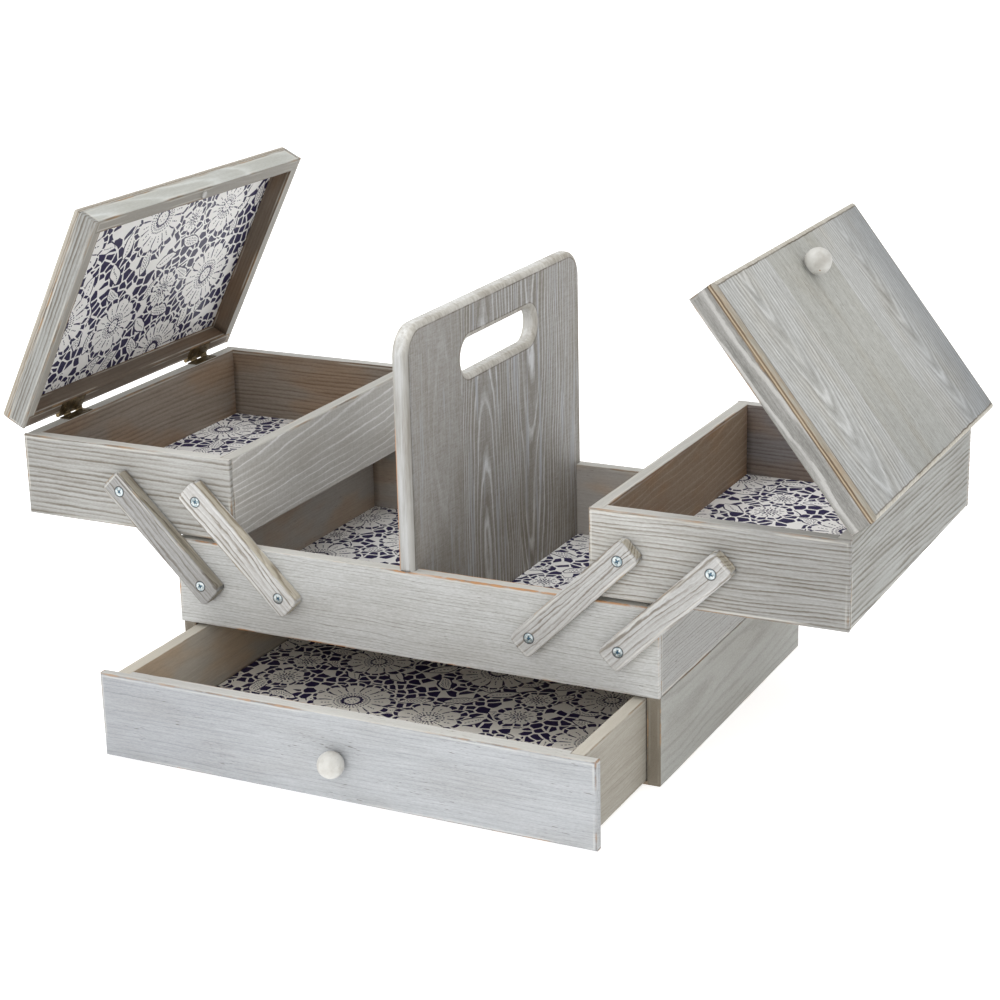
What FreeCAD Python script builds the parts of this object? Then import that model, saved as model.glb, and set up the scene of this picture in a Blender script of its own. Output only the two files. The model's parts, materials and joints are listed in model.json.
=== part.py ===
import FreeCAD, Part
import os, math
from FreeCAD import Vector as V

os.makedirs("parts", exist_ok=True)

# ---------------------------------------------------------------------------
# Cantilever sewing box with one drawer.  Millimetres, +X right along the knob
# face, +Y to the back, +Z up.  Origin: middle of the carcass underside.
# Stored pose: both upper boxes swung out, both lids open, drawer pulled out.
# ---------------------------------------------------------------------------

# ---- boards
W = 380.0            # overall width of carcass and tray
YT = 142.3           # half depth of the tray
T = 10.0             # board thickness
LIP = 3.5            # lip left over the end grain by each corner rebate
EDGE = 1.1           # sanded edge of the outside board edges
EDGE_IN = 0.5        # sanded edge of the inside rims

# ---- carcass (drawer housing)
HC = 65.3            # height
FRONT_SET_BACK = 3.1 # carcass front behind tray front
CB_T = 2.4           # thin bottom board

# ---- tray
HT = 64.6            # height of the tray walls
TRAY_FLOOR_T = 6.0
LINER_T = 0.4

# ---- handle board
TH = 11.9            # thickness
H_TOP = 303.4        # top edge
H_R = 22.0           # corner radius
H_EDGE = 4.4         # rounded edge
SLOT_Y0, SLOT_Y1 = -59.5, 61.5
SLOT_Z0, SLOT_Z1 = 249.2, 274.6
SLOT_EDGE = 4.0

# ---- upper boxes
BOX_X = {"right": (139.24, 319.54), "left": (140.71, 321.01)}   # inner and outer faces
YB = 141.5               # half depth
BOX_GAP = 2.6            # underside above the tray rim
HB = 61.65               # height
BOX_FLOOR_T = 5.9

# ---- lids
LID_GAP = 1.6            # closed lid above the box rim
RAIL_H = 15.3            # frame height
PANEL_T = 5.4            # top board
LID_EDGE = 3.0           # rounded top edge
OPEN_LEFT, OPEN_RIGHT = 63.15, 52.36
HINGE_OUT, HINGE_UP = 1.9, 2.15      # pin axis outside and above the box rim
HINGE_YC = (-82.0, 93.0)
KNUCKLE_R, PIN_R = 1.6, 0.75
KN_L, KN_GAP = 7.1, 0.4              # knuckle length and gap
LEAF_T, LEAF_W = 0.65, 9.3
KNOB_U = 156.5                       # lid knob from the hinge side
BUMP_U, BUMP_T = 175.0, 1.3          # bumper from the hinge side, thickness

# ---- swing arms
PX = (99.0, 164.55)      # lower pivots, left and right of the middle
PZ = 99.14
AX, AZ = 65.47, 64.08    # upper pivot from the lower one, outwards and up
ARM_W = 20.0
ARM_END = 12.2           # arm end beyond the pivot
ARM_Y0, ARM_Y1 = 142.6, 152.5
ARM_R = 4.6              # corner radius of the arm ends
SCREW_R = 2.0            # shank
HEAD_R = 3.5

# ---- drawer (pulled out)
DY0 = -246.0             # outer face of the drawer front
DF_T, DF_LIP = 11.3, 6.5
DW = 189.9               # half width of the front
DZ0, DZ1 = 0.4, 62.9
DS_X = 179.0             # outside of the drawer sides
DS_Z0 = 2.7
DS_Y1 = 28.0             # outside of the drawer back
DB_Z0, DB_T, GROOVE = 9.5, 3.0, 3.0
KNOB_Z = 30.4

ZR = HC + HT             # tray rim
ZB0 = ZR + BOX_GAP
ZB1 = ZB0 + HB           # box rim

saved = {}


def box(x0, x1, y0, y1, z0, z1):
    return Part.makeBox(abs(x1 - x0), abs(y1 - y0), abs(z1 - z0),
                        V(min(x0, x1), min(y0, y1), min(z0, z1)))


def rounded(shape, r, pick):
    """Fillet the straight edges that pick(mid, direction) accepts, one by one if they fail together."""
    def edges(s):
        out = []
        for e in s.Edges:
            if e.Curve.TypeId != "Part::GeomLine":
                continue
            a, b = e.Vertexes[0].Point, e.Vertexes[-1].Point
            d = b - a
            if d.Length < 1e-6:
                continue
            if pick((a + b) * 0.5, d * (1.0 / d.Length)):
                out.append(e)
        return out
    es = edges(shape)
    if not es:
        return shape
    try:
        f = shape.makeFillet(r, es)
        if f.isValid() and f.Volume > 0:
            return f
    except Exception:
        pass
    print("fillet fell back to a chamfer")
    f = shape.makeChamfer(r * 0.6, es)
    return f if f.isValid() else shape


def near(a, b, tol=0.02):
    return abs(a - b) < tol


def save(name, solids):
    if not isinstance(solids, (list, tuple)):
        solids = [solids]
    flat = []
    for s in solids:
        flat += s.Solids if s.Solids else [s]
    for s in flat:
        if not s.isValid():
            print("INVALID", name)
    out = flat[0] if len(flat) == 1 else Part.makeCompound(flat)
    out.exportStep("parts/" + name + ".step")
    saved[name] = (len(flat), sum(s.Volume for s in flat), out.BoundBox)


def mirror_x(s):
    return s.mirror(V(0, 0, 0), V(1, 0, 0))


def mirror_y(s):
    return s.mirror(V(0, 0, 0), V(0, 1, 0))


def turn(s, x, z, deg):
    """Turn about the Y direction through (x, z); positive lifts +X downwards."""
    c = s.copy()
    c.rotate(V(x, 0, z), V(0, 1, 0), deg)
    return c


def cyl_y(r, y0, y1, x, z):
    return Part.makeCylinder(r, abs(y1 - y0), V(x, min(y0, y1), z), V(0, 1, 0))


def cone_y(r0, r1, y0, y1, x, z):
    """Cone from radius r0 at y0 to r1 at y1, y1 > y0."""
    return Part.makeCone(r0, r1, y1 - y0, V(x, y0, z), V(0, 1, 0))


# ---------------------------------------------------------------------------
# boards with corner rebates
# ---------------------------------------------------------------------------
def end_board(x0, x1, yo, z0, z1, r_top=EDGE, r_bot=EDGE, r_in=EDGE_IN):
    """Front board (outer face at -yo): full width, both ends rebated for the side boards."""
    b = box(x0, x1, -yo, -yo + T, z0, z1)
    b = b.cut(box(x0 - 1, x0 + T, -yo + LIP, -yo + T + 1, z0 - 1, z1 + 1))
    b = b.cut(box(x1 - T, x1 + 1, -yo + LIP, -yo + T + 1, z0 - 1, z1 + 1))
    def outer(m, d):
        if near(m.y, -yo) and abs(d.x) > 0.9 and near(m.z, z1):
            return r_top > 0
        if near(m.y, -yo) and abs(d.x) > 0.9 and near(m.z, z0):
            return r_bot > 0
        if near(m.y, -yo) and abs(d.z) > 0.9:
            return True
        return False
    b = rounded(b, EDGE, outer)
    if r_in > 0:
        b = rounded(b, r_in, lambda m, d: near(m.y, -yo + T) and abs(d.x) > 0.9 and near(m.z, z1))
    return b


def side_board(xo, xi, y1, z0, z1, r_in=EDGE_IN, both=True):
    """Side board, outer face at xo, inner face at xi, between the rebates (y = +-y1)."""
    b = box(xo, xi, -y1, y1, z0, z1)
    b = rounded(b, EDGE, lambda m, d: near(m.x, xo) and abs(d.y) > 0.9 and (near(m.z, z1) or (both and near(m.z, z0))))
    if r_in > 0:
        b = rounded(b, r_in, lambda m, d: near(m.x, xi) and abs(d.y) > 0.9 and near(m.z, z1))
    return b


HW = W / 2.0

# ---- carcass
yc0 = -YT + FRONT_SET_BACK
cs = box(HW - T, HW, yc0, YT, 0, HC)
cs = rounded(cs, EDGE, lambda m, d: near(m.x, HW) and (abs(d.z) > 0.9 or (abs(d.y) > 0.9)))
save("carcass_right_side", cs)
save("carcass_left_side", mirror_x(cs))
save("carcass_back", box(-HW + T, HW - T, YT - T, YT, 0, HC))
save("carcass_bottom", box(-HW + T, HW - T, yc0, YT - T, 0, CB_T))

# ---- tray
tf = end_board(-HW, HW, YT, HC, ZR)
tb = mirror_y(tf)
pilot_len = 8.0


def pilots(sx_list, y_face, depth, z):
    """Screw holes of the shank radius, going into the board from its face at y_face (towards the middle)."""
    out = []
    for x in sx_list:
        s = 1 if y_face < 0 else -1
        out.append(cyl_y(SCREW_R, y_face - s * 0.5, y_face + s * depth, x, z))
    return out


low_x = [-PX[1], -PX[0], PX[0], PX[1]]
for h in pilots(low_x, -YT, pilot_len, PZ):
    tf = tf.cut(h)
for h in pilots(low_x, YT, pilot_len, PZ):
    tb = tb.cut(h)
save("tray_front", tf)
save("tray_back", tb)
te = side_board(HW, HW - T, YT - LIP, HC, ZR)
save("tray_right_end", te)
save("tray_left_end", mirror_x(te))
fy = YT - T
save("tray_floor", box(-HW + T, HW - T, -fy, fy, HC, HC + TRAY_FLOOR_T))
zf = HC + TRAY_FLOOR_T
lin = box(TH / 2 + 0.15, HW - T, -fy, fy, zf, zf + LINER_T)
save("tray_liners", [lin, mirror_x(lin)])

# ---- handle board: shoulders rest on the tray rims, foot stands on the tray floor
def yz_face(pts_edges, x):
    return Part.Face(Part.Wire(pts_edges))


def arc3(a, m, b):
    return Part.Arc(a, m, b).toShape()


def ln(a, b):
    return Part.makeLine(a, b)


x0 = -TH / 2
c45 = math.cos(math.radians(45))
P = lambda y, z: V(x0, y, z)
outline = [
    ln(P(-fy, zf), P(fy, zf)),
    ln(P(fy, zf), P(fy, ZR)),
    ln(P(fy, ZR), P(YT, ZR)),
    ln(P(YT, ZR), P(YT, H_TOP - H_R)),
    arc3(P(YT, H_TOP - H_R), P(YT - H_R + H_R * c45, H_TOP - H_R + H_R * c45), P(YT - H_R, H_TOP)),
    ln(P(YT - H_R, H_TOP), P(-YT + H_R, H_TOP)),
    arc3(P(-YT + H_R, H_TOP), P(-YT + H_R - H_R * c45, H_TOP - H_R + H_R * c45), P(-YT, H_TOP - H_R)),
    ln(P(-YT, H_TOP - H_R), P(-YT, ZR)),
    ln(P(-YT, ZR), P(-fy, ZR)),
    ln(P(-fy, ZR), P(-fy, zf)),
]
hb = Part.Face(Part.Wire(outline)).extrude(V(TH, 0, 0))
rs = (SLOT_Z1 - SLOT_Z0) / 2
zs = (SLOT_Z1 + SLOT_Z0) / 2
ya, yb_ = SLOT_Y0 + rs, SLOT_Y1 - rs
slot = [
    ln(P(ya, SLOT_Z0), P(yb_, SLOT_Z0)),
    arc3(P(yb_, SLOT_Z0), P(SLOT_Y1, zs), P(yb_, SLOT_Z1)),
    ln(P(yb_, SLOT_Z1), P(ya, SLOT_Z1)),
    arc3(P(ya, SLOT_Z1), P(SLOT_Y0, zs), P(ya, SLOT_Z0)),
]
hb = hb.cut(Part.Face(Part.Wire(slot)).extrude(V(TH, 0, 0)))


def on_face(e):
    b = e.BoundBox
    return (near(b.XMin, x0) and near(b.XMax, x0)) or (near(b.XMin, -x0) and near(b.XMax, -x0))


outer_edges, slot_edges = [], []
for e in hb.Edges:
    if not on_face(e):
        continue
    b = e.BoundBox
    cy, cz = (b.YMin + b.YMax) / 2, (b.ZMin + b.ZMax) / 2
    if SLOT_Z0 - 0.1 <= b.ZMin and b.ZMax <= SLOT_Z1 + 0.1 and SLOT_Y0 - 0.1 <= b.YMin and b.YMax <= SLOT_Y1 + 0.1:
        slot_edges.append(e)
    elif b.ZMax > ZR + 1:
        outer_edges.append(e)
hb2 = hb.makeFillet(H_EDGE, outer_edges)
slot2 = []
for e in hb2.Edges:
    if on_face(e):
        b = e.BoundBox
        if SLOT_Z0 - 0.1 <= b.ZMin and b.ZMax <= SLOT_Z1 + 0.1 and SLOT_Y0 - 0.1 <= b.YMin and b.YMax <= SLOT_Y1 + 0.1:
            slot2.append(e)
hb3 = hb2.makeFillet(SLOT_EDGE, slot2)
save("handle_board", hb3)


# ---------------------------------------------------------------------------
# countersunk cross-head screw along -Y (head at the front), tip towards +Y
# ---------------------------------------------------------------------------
def csk_screw(x, z, y_face, length, r=SCREW_R, hr=HEAD_R):
    """Head rim lies at y_face, a low dome stands 0.55 proud, shank runs to y_face + length."""
    h = hr - r
    body = cone_y(hr, r, y_face + 0.35, y_face + 0.35 + h, x, z)
    body = body.fuse(cyl_y(hr, y_face, y_face + 0.35, x, z))
    body = body.fuse(cyl_y(r, y_face + 0.3 + h, y_face + length, x, z))
    R = (hr * hr + 0.55 * 0.55) / (2 * 0.55)
    ball = Part.makeSphere(R, V(x, y_face - 0.55 + R, z))
    dome = ball.common(cyl_y(hr, y_face - 0.6, y_face + 0.05, x, z))
    body = body.fuse(dome)
    d = 2.3
    for ang in (20.0, 110.0):
        b = box(-d, d, y_face - 1, y_face + 1.5, -0.42, 0.42)
        b.rotate(V(0, 0, 0), V(0, 1, 0), ang)
        b.translate(V(x, 0, z))
        body = body.cut(b)
    return body.removeSplitter()


def arm_hole(x, z, clear):
    """Countersunk hole through the arm, wider than the screw by clear."""
    yf = -ARM_Y1
    h = HEAD_R - SCREW_R
    s = cyl_y(SCREW_R + clear, -ARM_Y1 - 1, -ARM_Y0 + 1, x, z)
    s = s.fuse(cyl_y(HEAD_R + 0.35, yf - 1, yf + 0.45, x, z))
    s = s.fuse(cone_y(HEAD_R + 0.35, SCREW_R + clear, yf + 0.45, yf + 0.45 + h + 0.35 - clear, x, z))
    return s


def arm(px, clear_up):
    """Right-hand front arm from (px, PZ) to (px + AX, PZ + AZ)."""
    L = math.hypot(AX, AZ)
    a = box(-ARM_END, L + ARM_END, -ARM_Y1, -ARM_Y0, -ARM_W / 2, ARM_W / 2)
    a = rounded(a, ARM_R, lambda m, d: abs(d.y) > 0.9)
    fe = [e for e in a.Edges if near(e.BoundBox.YMin, -ARM_Y1) and near(e.BoundBox.YMax, -ARM_Y1)]
    try:
        a = a.makeFillet(1.0, fe)
    except Exception:
        print("arm edge fillet failed")
    # local X runs along the arm
    a.rotate(V(0, 0, 0), V(0, 1, 0), -math.degrees(math.atan2(AZ, AX)))
    a.translate(V(px, 0, PZ))
    a = a.cut(arm_hole(px, PZ, 0.08))
    a = a.cut(arm_hole(px + AX, PZ + AZ, clear_up))
    return a


# inner front arm carries the box (close running fit), the other upper pivots are looser
arms = {}
for where, px in (("inner", PX[0]), ("outer", PX[1])):
    for face in ("front", "rear"):
        driver = where == "inner" and face == "front"
        a = arm(px, 0.08 if driver else 0.30)
        if face == "rear":
            a = mirror_y(a)
        save("right_%s_%s_arm" % (face, where), a)
        save("left_%s_%s_arm" % (face, where), mirror_x(a))

low = [csk_screw(x, PZ, -ARM_Y1, ARM_Y1 - YT + pilot_len) for x in low_x]
low += [mirror_y(s) for s in low]
save("tray_arm_screws", low)


# ---------------------------------------------------------------------------
# upper box and lid are built on the right (outer wall at +XO), mirrored for the left
# ---------------------------------------------------------------------------
up_x = [PX[0] + AX, PX[1] + AX]
up_z = PZ + AZ
hy = [(yc - 2 * KN_L - 1.5 * KN_GAP, yc + 2 * KN_L + 1.5 * KN_GAP) for yc in HINGE_YC]


def leaf_screw(x, y, z_face, up, length=6.5, r=0.9, hr=1.9):
    """Small countersunk screw; up = +1 when its head faces +Z."""
    h = hr - r
    c = Part.makeCone(hr, r, h, V(x, y, z_face), V(0, 0, -up))
    c = c.fuse(Part.makeCylinder(r, length - h + 0.05, V(x, y, z_face - up * (h - 0.05)), V(0, 0, -up)))
    for ang in (0.0, 90.0):
        b = box(-1.1, 1.1, -0.2, 0.2, -0.45, 0.45)
        b.rotate(V(0, 0, 0), V(0, 0, 1), ang + 15)
        b.translate(V(x, y, z_face))
        c = c.cut(b)
    return c.removeSplitter()


def leaf_hole(x, y, z_face, up, length=6.5, r=0.9, hr=1.9):
    h = hr - r
    c = Part.makeCone(hr, r, h, V(x, y, z_face), V(0, 0, -up))
    c = c.fuse(Part.makeCylinder(r, length - h + 0.05, V(x, y, z_face - up * (h - 0.05)), V(0, 0, -up)))
    c = c.fuse(Part.makeCylinder(hr, 1.0, V(x, y, z_face), V(0, 0, up)))
    return c


SC_DY = 9.6


def knuckles(leaf, xo, y0, z_a, z_b, places, bore):
    """Add the rolled knuckles at the given places; z_a, z_b bound the leaf at its outer edge."""
    hx, hz = xo + HINGE_OUT, ZB1 + HINGE_UP
    for k in places:
        a = y0 + k * (KN_L + KN_GAP)
        strap = Part.Face(Part.makePolygon([
            V(xo - 0.5, a, z_a), V(hx, a, z_a if z_a < hz - 1.2 else hz - 1.2), V(hx, a, hz - 0.2),
            V(hx - 1.1, a, hz - 0.2), V(xo - 0.1, a, z_b), V(xo - 0.5, a, z_b), V(xo - 0.5, a, z_a)])).extrude(V(0, KN_L, 0))
        leaf = leaf.fuse(cyl_y(KNUCKLE_R, a, a + KN_L, hx, hz)).fuse(strap)
    return leaf.cut(cyl_y(bore, y0 - 1, y0 + 40, hx, hz))


def box_leaf(xo, y0, y1):
    """Leaf on the box rim, knuckles at the 2nd and 4th places."""
    s = box(xo - LEAF_W, xo, y0, y1, ZB1, ZB1 + LEAF_T)
    s = knuckles(s, xo, y0, ZB1 + 0.05, ZB1 + LEAF_T, (1, 3), PIN_R)
    for dy in (-SC_DY, SC_DY):
        s = s.cut(leaf_hole(xo - 5.2, (y0 + y1) / 2 + dy, ZB1 + LEAF_T, 1))
    return s.removeSplitter()


def lid_leaf(xo, y0, y1):
    """Leaf on the lid frame, knuckles at the 1st and 3rd places (closed position)."""
    bot = ZB1 + LID_GAP - LEAF_T
    s = box(xo - LEAF_W, xo, y0, y1, bot, bot + LEAF_T)
    s = knuckles(s, xo, y0, bot, bot + LEAF_T, (0, 2), PIN_R + 0.06)
    for dy in (-SC_DY, SC_DY):
        s = s.cut(leaf_hole(xo - 5.2, (y0 + y1) / 2 + dy, bot, -1))
    return s.removeSplitter()


def build_box(XI, XO):
    out = {}
    hx, hz = XO + HINGE_OUT, ZB1 + HINGE_UP
    f = end_board(XI, XO, YB, ZB0, ZB1)
    b = mirror_y(f)
    for h in pilots(up_x, -YB, pilot_len, up_z):
        f = f.cut(h)
    for h in pilots(up_x, YB, pilot_len, up_z):
        b = b.cut(h)
    out["box_front"] = f
    out["box_back"] = b
    ow = side_board(XO, XO - T, YB - LIP, ZB0, ZB1)
    for (y0, y1) in hy:
        for dy in (-SC_DY, SC_DY):
            ow = ow.cut(leaf_hole(XO - 5.2, (y0 + y1) / 2 + dy, ZB1 + LEAF_T, 1))
    out["box_outer_wall"] = ow
    out["box_inner_wall"] = side_board(XI, XI + T, YB - LIP, ZB0, ZB1)
    out["box_floor"] = box(XI + T, XO - T, -YB + T, YB - T, ZB0, ZB0 + BOX_FLOOR_T)
    zl = ZB0 + BOX_FLOOR_T
    out["box_liner"] = box(XI + T, XO - T, -YB + T, YB - T, zl, zl + LINER_T)
    out["hinge_box_leaves"] = [box_leaf(XO, *h) for h in hy]
    sc = [csk_screw(x, up_z, -ARM_Y1, ARM_Y1 - YB + pilot_len) for x in up_x]
    sc += [mirror_y(s) for s in sc]
    for (y0, y1) in hy:
        for dy in (-SC_DY, SC_DY):
            sc.append(leaf_screw(XO - 5.2, (y0 + y1) / 2 + dy, ZB1 + LEAF_T, 1))
        sc.append(cyl_y(PIN_R, y0 + 0.2, y1 - 0.2, hx, hz))
    out["box_screws_and_pins"] = sc
    return out


# ---------------------------------------------------------------------------
# turned ball knob standing on +Z at the origin, and its screw
# ---------------------------------------------------------------------------
KR, KC = 9.35, 8.3
def knob():
    r_n = 4.6
    y_join = KC - math.sqrt(KR * KR - 6.4 * 6.4)
    e = [
        Part.makeLine(V(0, 0, 0), V(r_n + 0.6, 0, 0)),
        Part.makeLine(V(r_n + 0.6, 0, 0), V(r_n, 0, 0.8)),
        Part.makeLine(V(r_n, 0, 0.8), V(6.4, 0, y_join)),
        Part.Arc(V(6.4, 0, y_join), V(KR, 0, KC), V(0, 0, KC + KR)).toShape(),
        Part.makeLine(V(0, 0, KC + KR), V(0, 0, 0)),
    ]
    k = Part.Face(Part.Wire(e)).revolve(V(0, 0, 0), V(0, 0, 1), 360)
    k = Part.Solid(k) if not k.Solids else k.Solids[0]
    return k.cut(Part.makeCylinder(1.8, 9.5, V(0, 0, 0)))


def knob_screw(board_t, head_r, head_h, sunk):
    """Screw from below through a board of thickness board_t into a knob standing at z = 0."""
    s = Part.makeCylinder(1.8, board_t + 9.0, V(0, 0, -board_t))
    if sunk:
        s = s.fuse(Part.makeCone(head_r, 1.8, head_h, V(0, 0, -board_t), V(0, 0, 1)))
    else:
        h = Part.makeCylinder(head_r, head_h, V(0, 0, -board_t - head_h))
        h = h.makeFillet(head_h * 0.5, [e for e in h.Edges if near(e.BoundBox.ZMax, -board_t - head_h, 0.01) and e.Length > 1])
        s = s.fuse(h)
        for ang in (0, 90):
            b = box(-2.2, 2.2, -0.4, 0.4, -board_t - head_h - 1, -board_t - head_h + 1.2)
            b.rotate(V(0, 0, 0), V(0, 0, 1), ang)
            s = s.cut(b)
    return s.removeSplitter()


# ---------------------------------------------------------------------------
# lid, closed position on the right, turned open after mirroring
# ---------------------------------------------------------------------------
def build_lid(XI, XO):
    out = {}
    z0 = ZB1 + LID_GAP
    z1 = z0 + RAIL_H
    z2 = z1 + PANEL_T
    f = box(XI, XO, -YB, -YB + T, z0, z1)
    f = f.cut(box(XI - 1, XI + T, -YB + LIP, -YB + T + 1, z0 - 1, z1 + 1))
    f = f.cut(box(XO - T, XO + 1, -YB + LIP, -YB + T + 1, z0 - 1, z1 + 1))
    f = rounded(f, EDGE, lambda m, d: near(m.y, -YB) and (abs(d.z) > 0.9 or (abs(d.x) > 0.9 and near(m.z, z0))))
    out["lid_end_rails"] = [f, mirror_y(f)]
    hr = box(XO - T, XO, -YB + LIP, YB - LIP, z0, z1)
    hr = rounded(hr, EDGE, lambda m, d: near(m.x, XO) and abs(d.y) > 0.9 and near(m.z, z0))
    for (y0, y1) in hy:
        for dy in (-SC_DY, SC_DY):
            hr = hr.cut(leaf_hole(XO - 5.2, (y0 + y1) / 2 + dy, z0 - LEAF_T, -1))
    fr = box(XI, XI + T, -YB + LIP, YB - LIP, z0, z1)
    fr = rounded(fr, EDGE, lambda m, d: near(m.x, XI) and abs(d.y) > 0.9 and near(m.z, z0))
    out["lid_long_rails"] = [hr, fr]
    p = box(XI, XO, -YB, YB, z1, z2)
    ver = [e for e in p.Edges if e.BoundBox.ZMax - e.BoundBox.ZMin > 1]
    p = p.makeFillet(1.2, ver)
    top = [e for e in p.Edges if near(e.BoundBox.ZMin, z2) and near(e.BoundBox.ZMax, z2)]
    p = p.makeFillet(LID_EDGE, top)
    kx = XO - KNOB_U
    p = p.cut(Part.makeCylinder(1.8, PANEL_T + 2, V(kx, 0, z1 - 1)))
    p = p.cut(Part.makeCone(3.6, 1.8, 1.8, V(kx, 0, z1), V(0, 0, 1)))
    out["lid_panel"] = p
    out["lid_liner"] = box(XI + T, XO - T, -YB + T, YB - T, z1 - LINER_T, z1)
    k = knob()
    k.translate(V(kx, 0, z2))
    out["lid_knob"] = k
    sc = []
    s = knob_screw(PANEL_T, 3.6, 1.8, True)
    s.translate(V(kx, 0, z2))
    sc.append(s)
    for (y0, y1) in hy:
        for dy in (-SC_DY, SC_DY):
            sc.append(leaf_screw(XO - 5.2, (y0 + y1) / 2 + dy, z0 - LEAF_T, -1))
    out["lid_screws"] = sc
    out["hinge_lid_leaves"] = [lid_leaf(XO, *h) for h in hy]
    bp = Part.makeCylinder(3.0, BUMP_T, V(XO - BUMP_U, 0, z0 - BUMP_T), V(0, 0, 1))
    be = [e for e in bp.Edges if near(e.BoundBox.ZMax, z0 - BUMP_T) and e.Length > 1]
    out["lid_bumper"] = bp.makeFillet(0.5, be)
    return out


def each(shapes, fn):
    if isinstance(shapes, (list, tuple)):
        return [fn(s) for s in shapes]
    return fn(shapes)


for side in ("left", "right"):
    xi, xo = BOX_X[side]
    flip = mirror_x if side == "left" else (lambda q: q)
    hx, hz = xo + HINGE_OUT, ZB1 + HINGE_UP
    sg, ang = (-1, -OPEN_LEFT) if side == "left" else (1, OPEN_RIGHT)
    for n, s in build_box(xi, xo).items():
        save(side + "_" + n, each(s, flip))
    for n, s in build_lid(xi, xo).items():
        save(side + "_" + n, each(s, lambda q: turn(flip(q), sg * hx, hz, ang)))


# ---------------------------------------------------------------------------
# drawer
# ---------------------------------------------------------------------------
DS_I = DS_X - T
yb1 = DY0 + DF_T
yl = DY0 + DF_LIP
df = box(-DW, DW, DY0, yb1, DZ0, DZ1)
df = df.cut(box(-DW - 1, -DS_I, yl, yb1 + 1, DZ0 - 1, DZ1 + 1))
df = df.cut(box(DS_I, DW + 1, yl, yb1 + 1, DZ0 - 1, DZ1 + 1))
df = rounded(df, 1.6, lambda m, d: near(m.y, DY0))
df = rounded(df, EDGE_IN, lambda m, d: near(m.y, yb1) and abs(d.x) > 0.9 and near(m.z, DZ1))
df = df.cut(box(-DS_I, DS_I, yb1 - GROOVE, yb1 + 1, DB_Z0, DB_Z0 + DB_T))
df = df.cut(cyl_y(1.8, DY0 - 1, yb1 + 1, 0, KNOB_Z))
df = df.cut(box(-DS_I - 1, DS_I + 1, yl, yb1 + 1, DZ0 - 1, DS_Z0))     # clears the carcass bottom
save("drawer_front", df)
ds = box(DS_I, DS_X, yl, DS_Y1, DS_Z0, DZ1)
ds = rounded(ds, EDGE_IN, lambda m, d: abs(d.y) > 0.9)
ds = ds.cut(box(DS_I - 1, DS_I + GROOVE, yb1 - GROOVE, DS_Y1 - T + GROOVE, DB_Z0, DB_Z0 + DB_T))
save("drawer_right_side", ds)
save("drawer_left_side", mirror_x(ds))
db = box(-DS_I, DS_I, DS_Y1 - T, DS_Y1, DS_Z0, DZ1)
db = rounded(db, EDGE_IN, lambda m, d: abs(d.x) > 0.9 and near(m.z, DZ1))
db = db.cut(box(-DS_I - 1, DS_I + 1, DS_Y1 - T - 1, DS_Y1 - T + GROOVE, DB_Z0, DB_Z0 + DB_T))
save("drawer_back", db)
dbt = box(-DS_I - GROOVE, DS_I + GROOVE, yb1 - GROOVE, DS_Y1 - T + GROOVE, DB_Z0, DB_Z0 + DB_T)
# corners stay clear of the rebated ends of the front
save("drawer_bottom", dbt.cut(box(-DS_I - 9, -DS_I, yb1 - 9, yb1, 0, 30)).cut(box(DS_I, DS_I + 9, yb1 - 9, yb1, 0, 30)))
save("drawer_liner", box(-DS_I, DS_I, yb1, DS_Y1 - T, DB_Z0 + DB_T, DB_Z0 + DB_T + LINER_T))
k = knob()
k.rotate(V(0, 0, 0), V(1, 0, 0), 90)      # +Z of the knob now points to -Y
k.translate(V(0, DY0, KNOB_Z))
save("drawer_knob", k)
s = knob_screw(DF_T, 3.9, 2.0, False)
s.rotate(V(0, 0, 0), V(1, 0, 0), 90)
s.translate(V(0, DY0, KNOB_Z))
save("drawer_knob_screw", s)

tot = 0
lo = [1e9] * 3
hi = [-1e9] * 3
for n, (c, v, bb) in sorted(saved.items()):
    print("%-28s %2d solids %9.1f mm3  x %7.1f %7.1f  y %7.1f %7.1f  z %7.1f %7.1f" % (n, c, v, bb.XMin, bb.XMax, bb.YMin, bb.YMax, bb.ZMin, bb.ZMax))
    tot += v
    for i, (a, b) in enumerate(((bb.XMin, bb.XMax), (bb.YMin, bb.YMax), (bb.ZMin, bb.ZMax))):
        lo[i] = min(lo[i], a)
        hi[i] = max(hi[i], b)
print(len(saved), "nodes, volume %.0f cm3" % (tot / 1000), "box", [round(v, 1) for v in lo], [round(v, 1) for v in hi])
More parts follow.
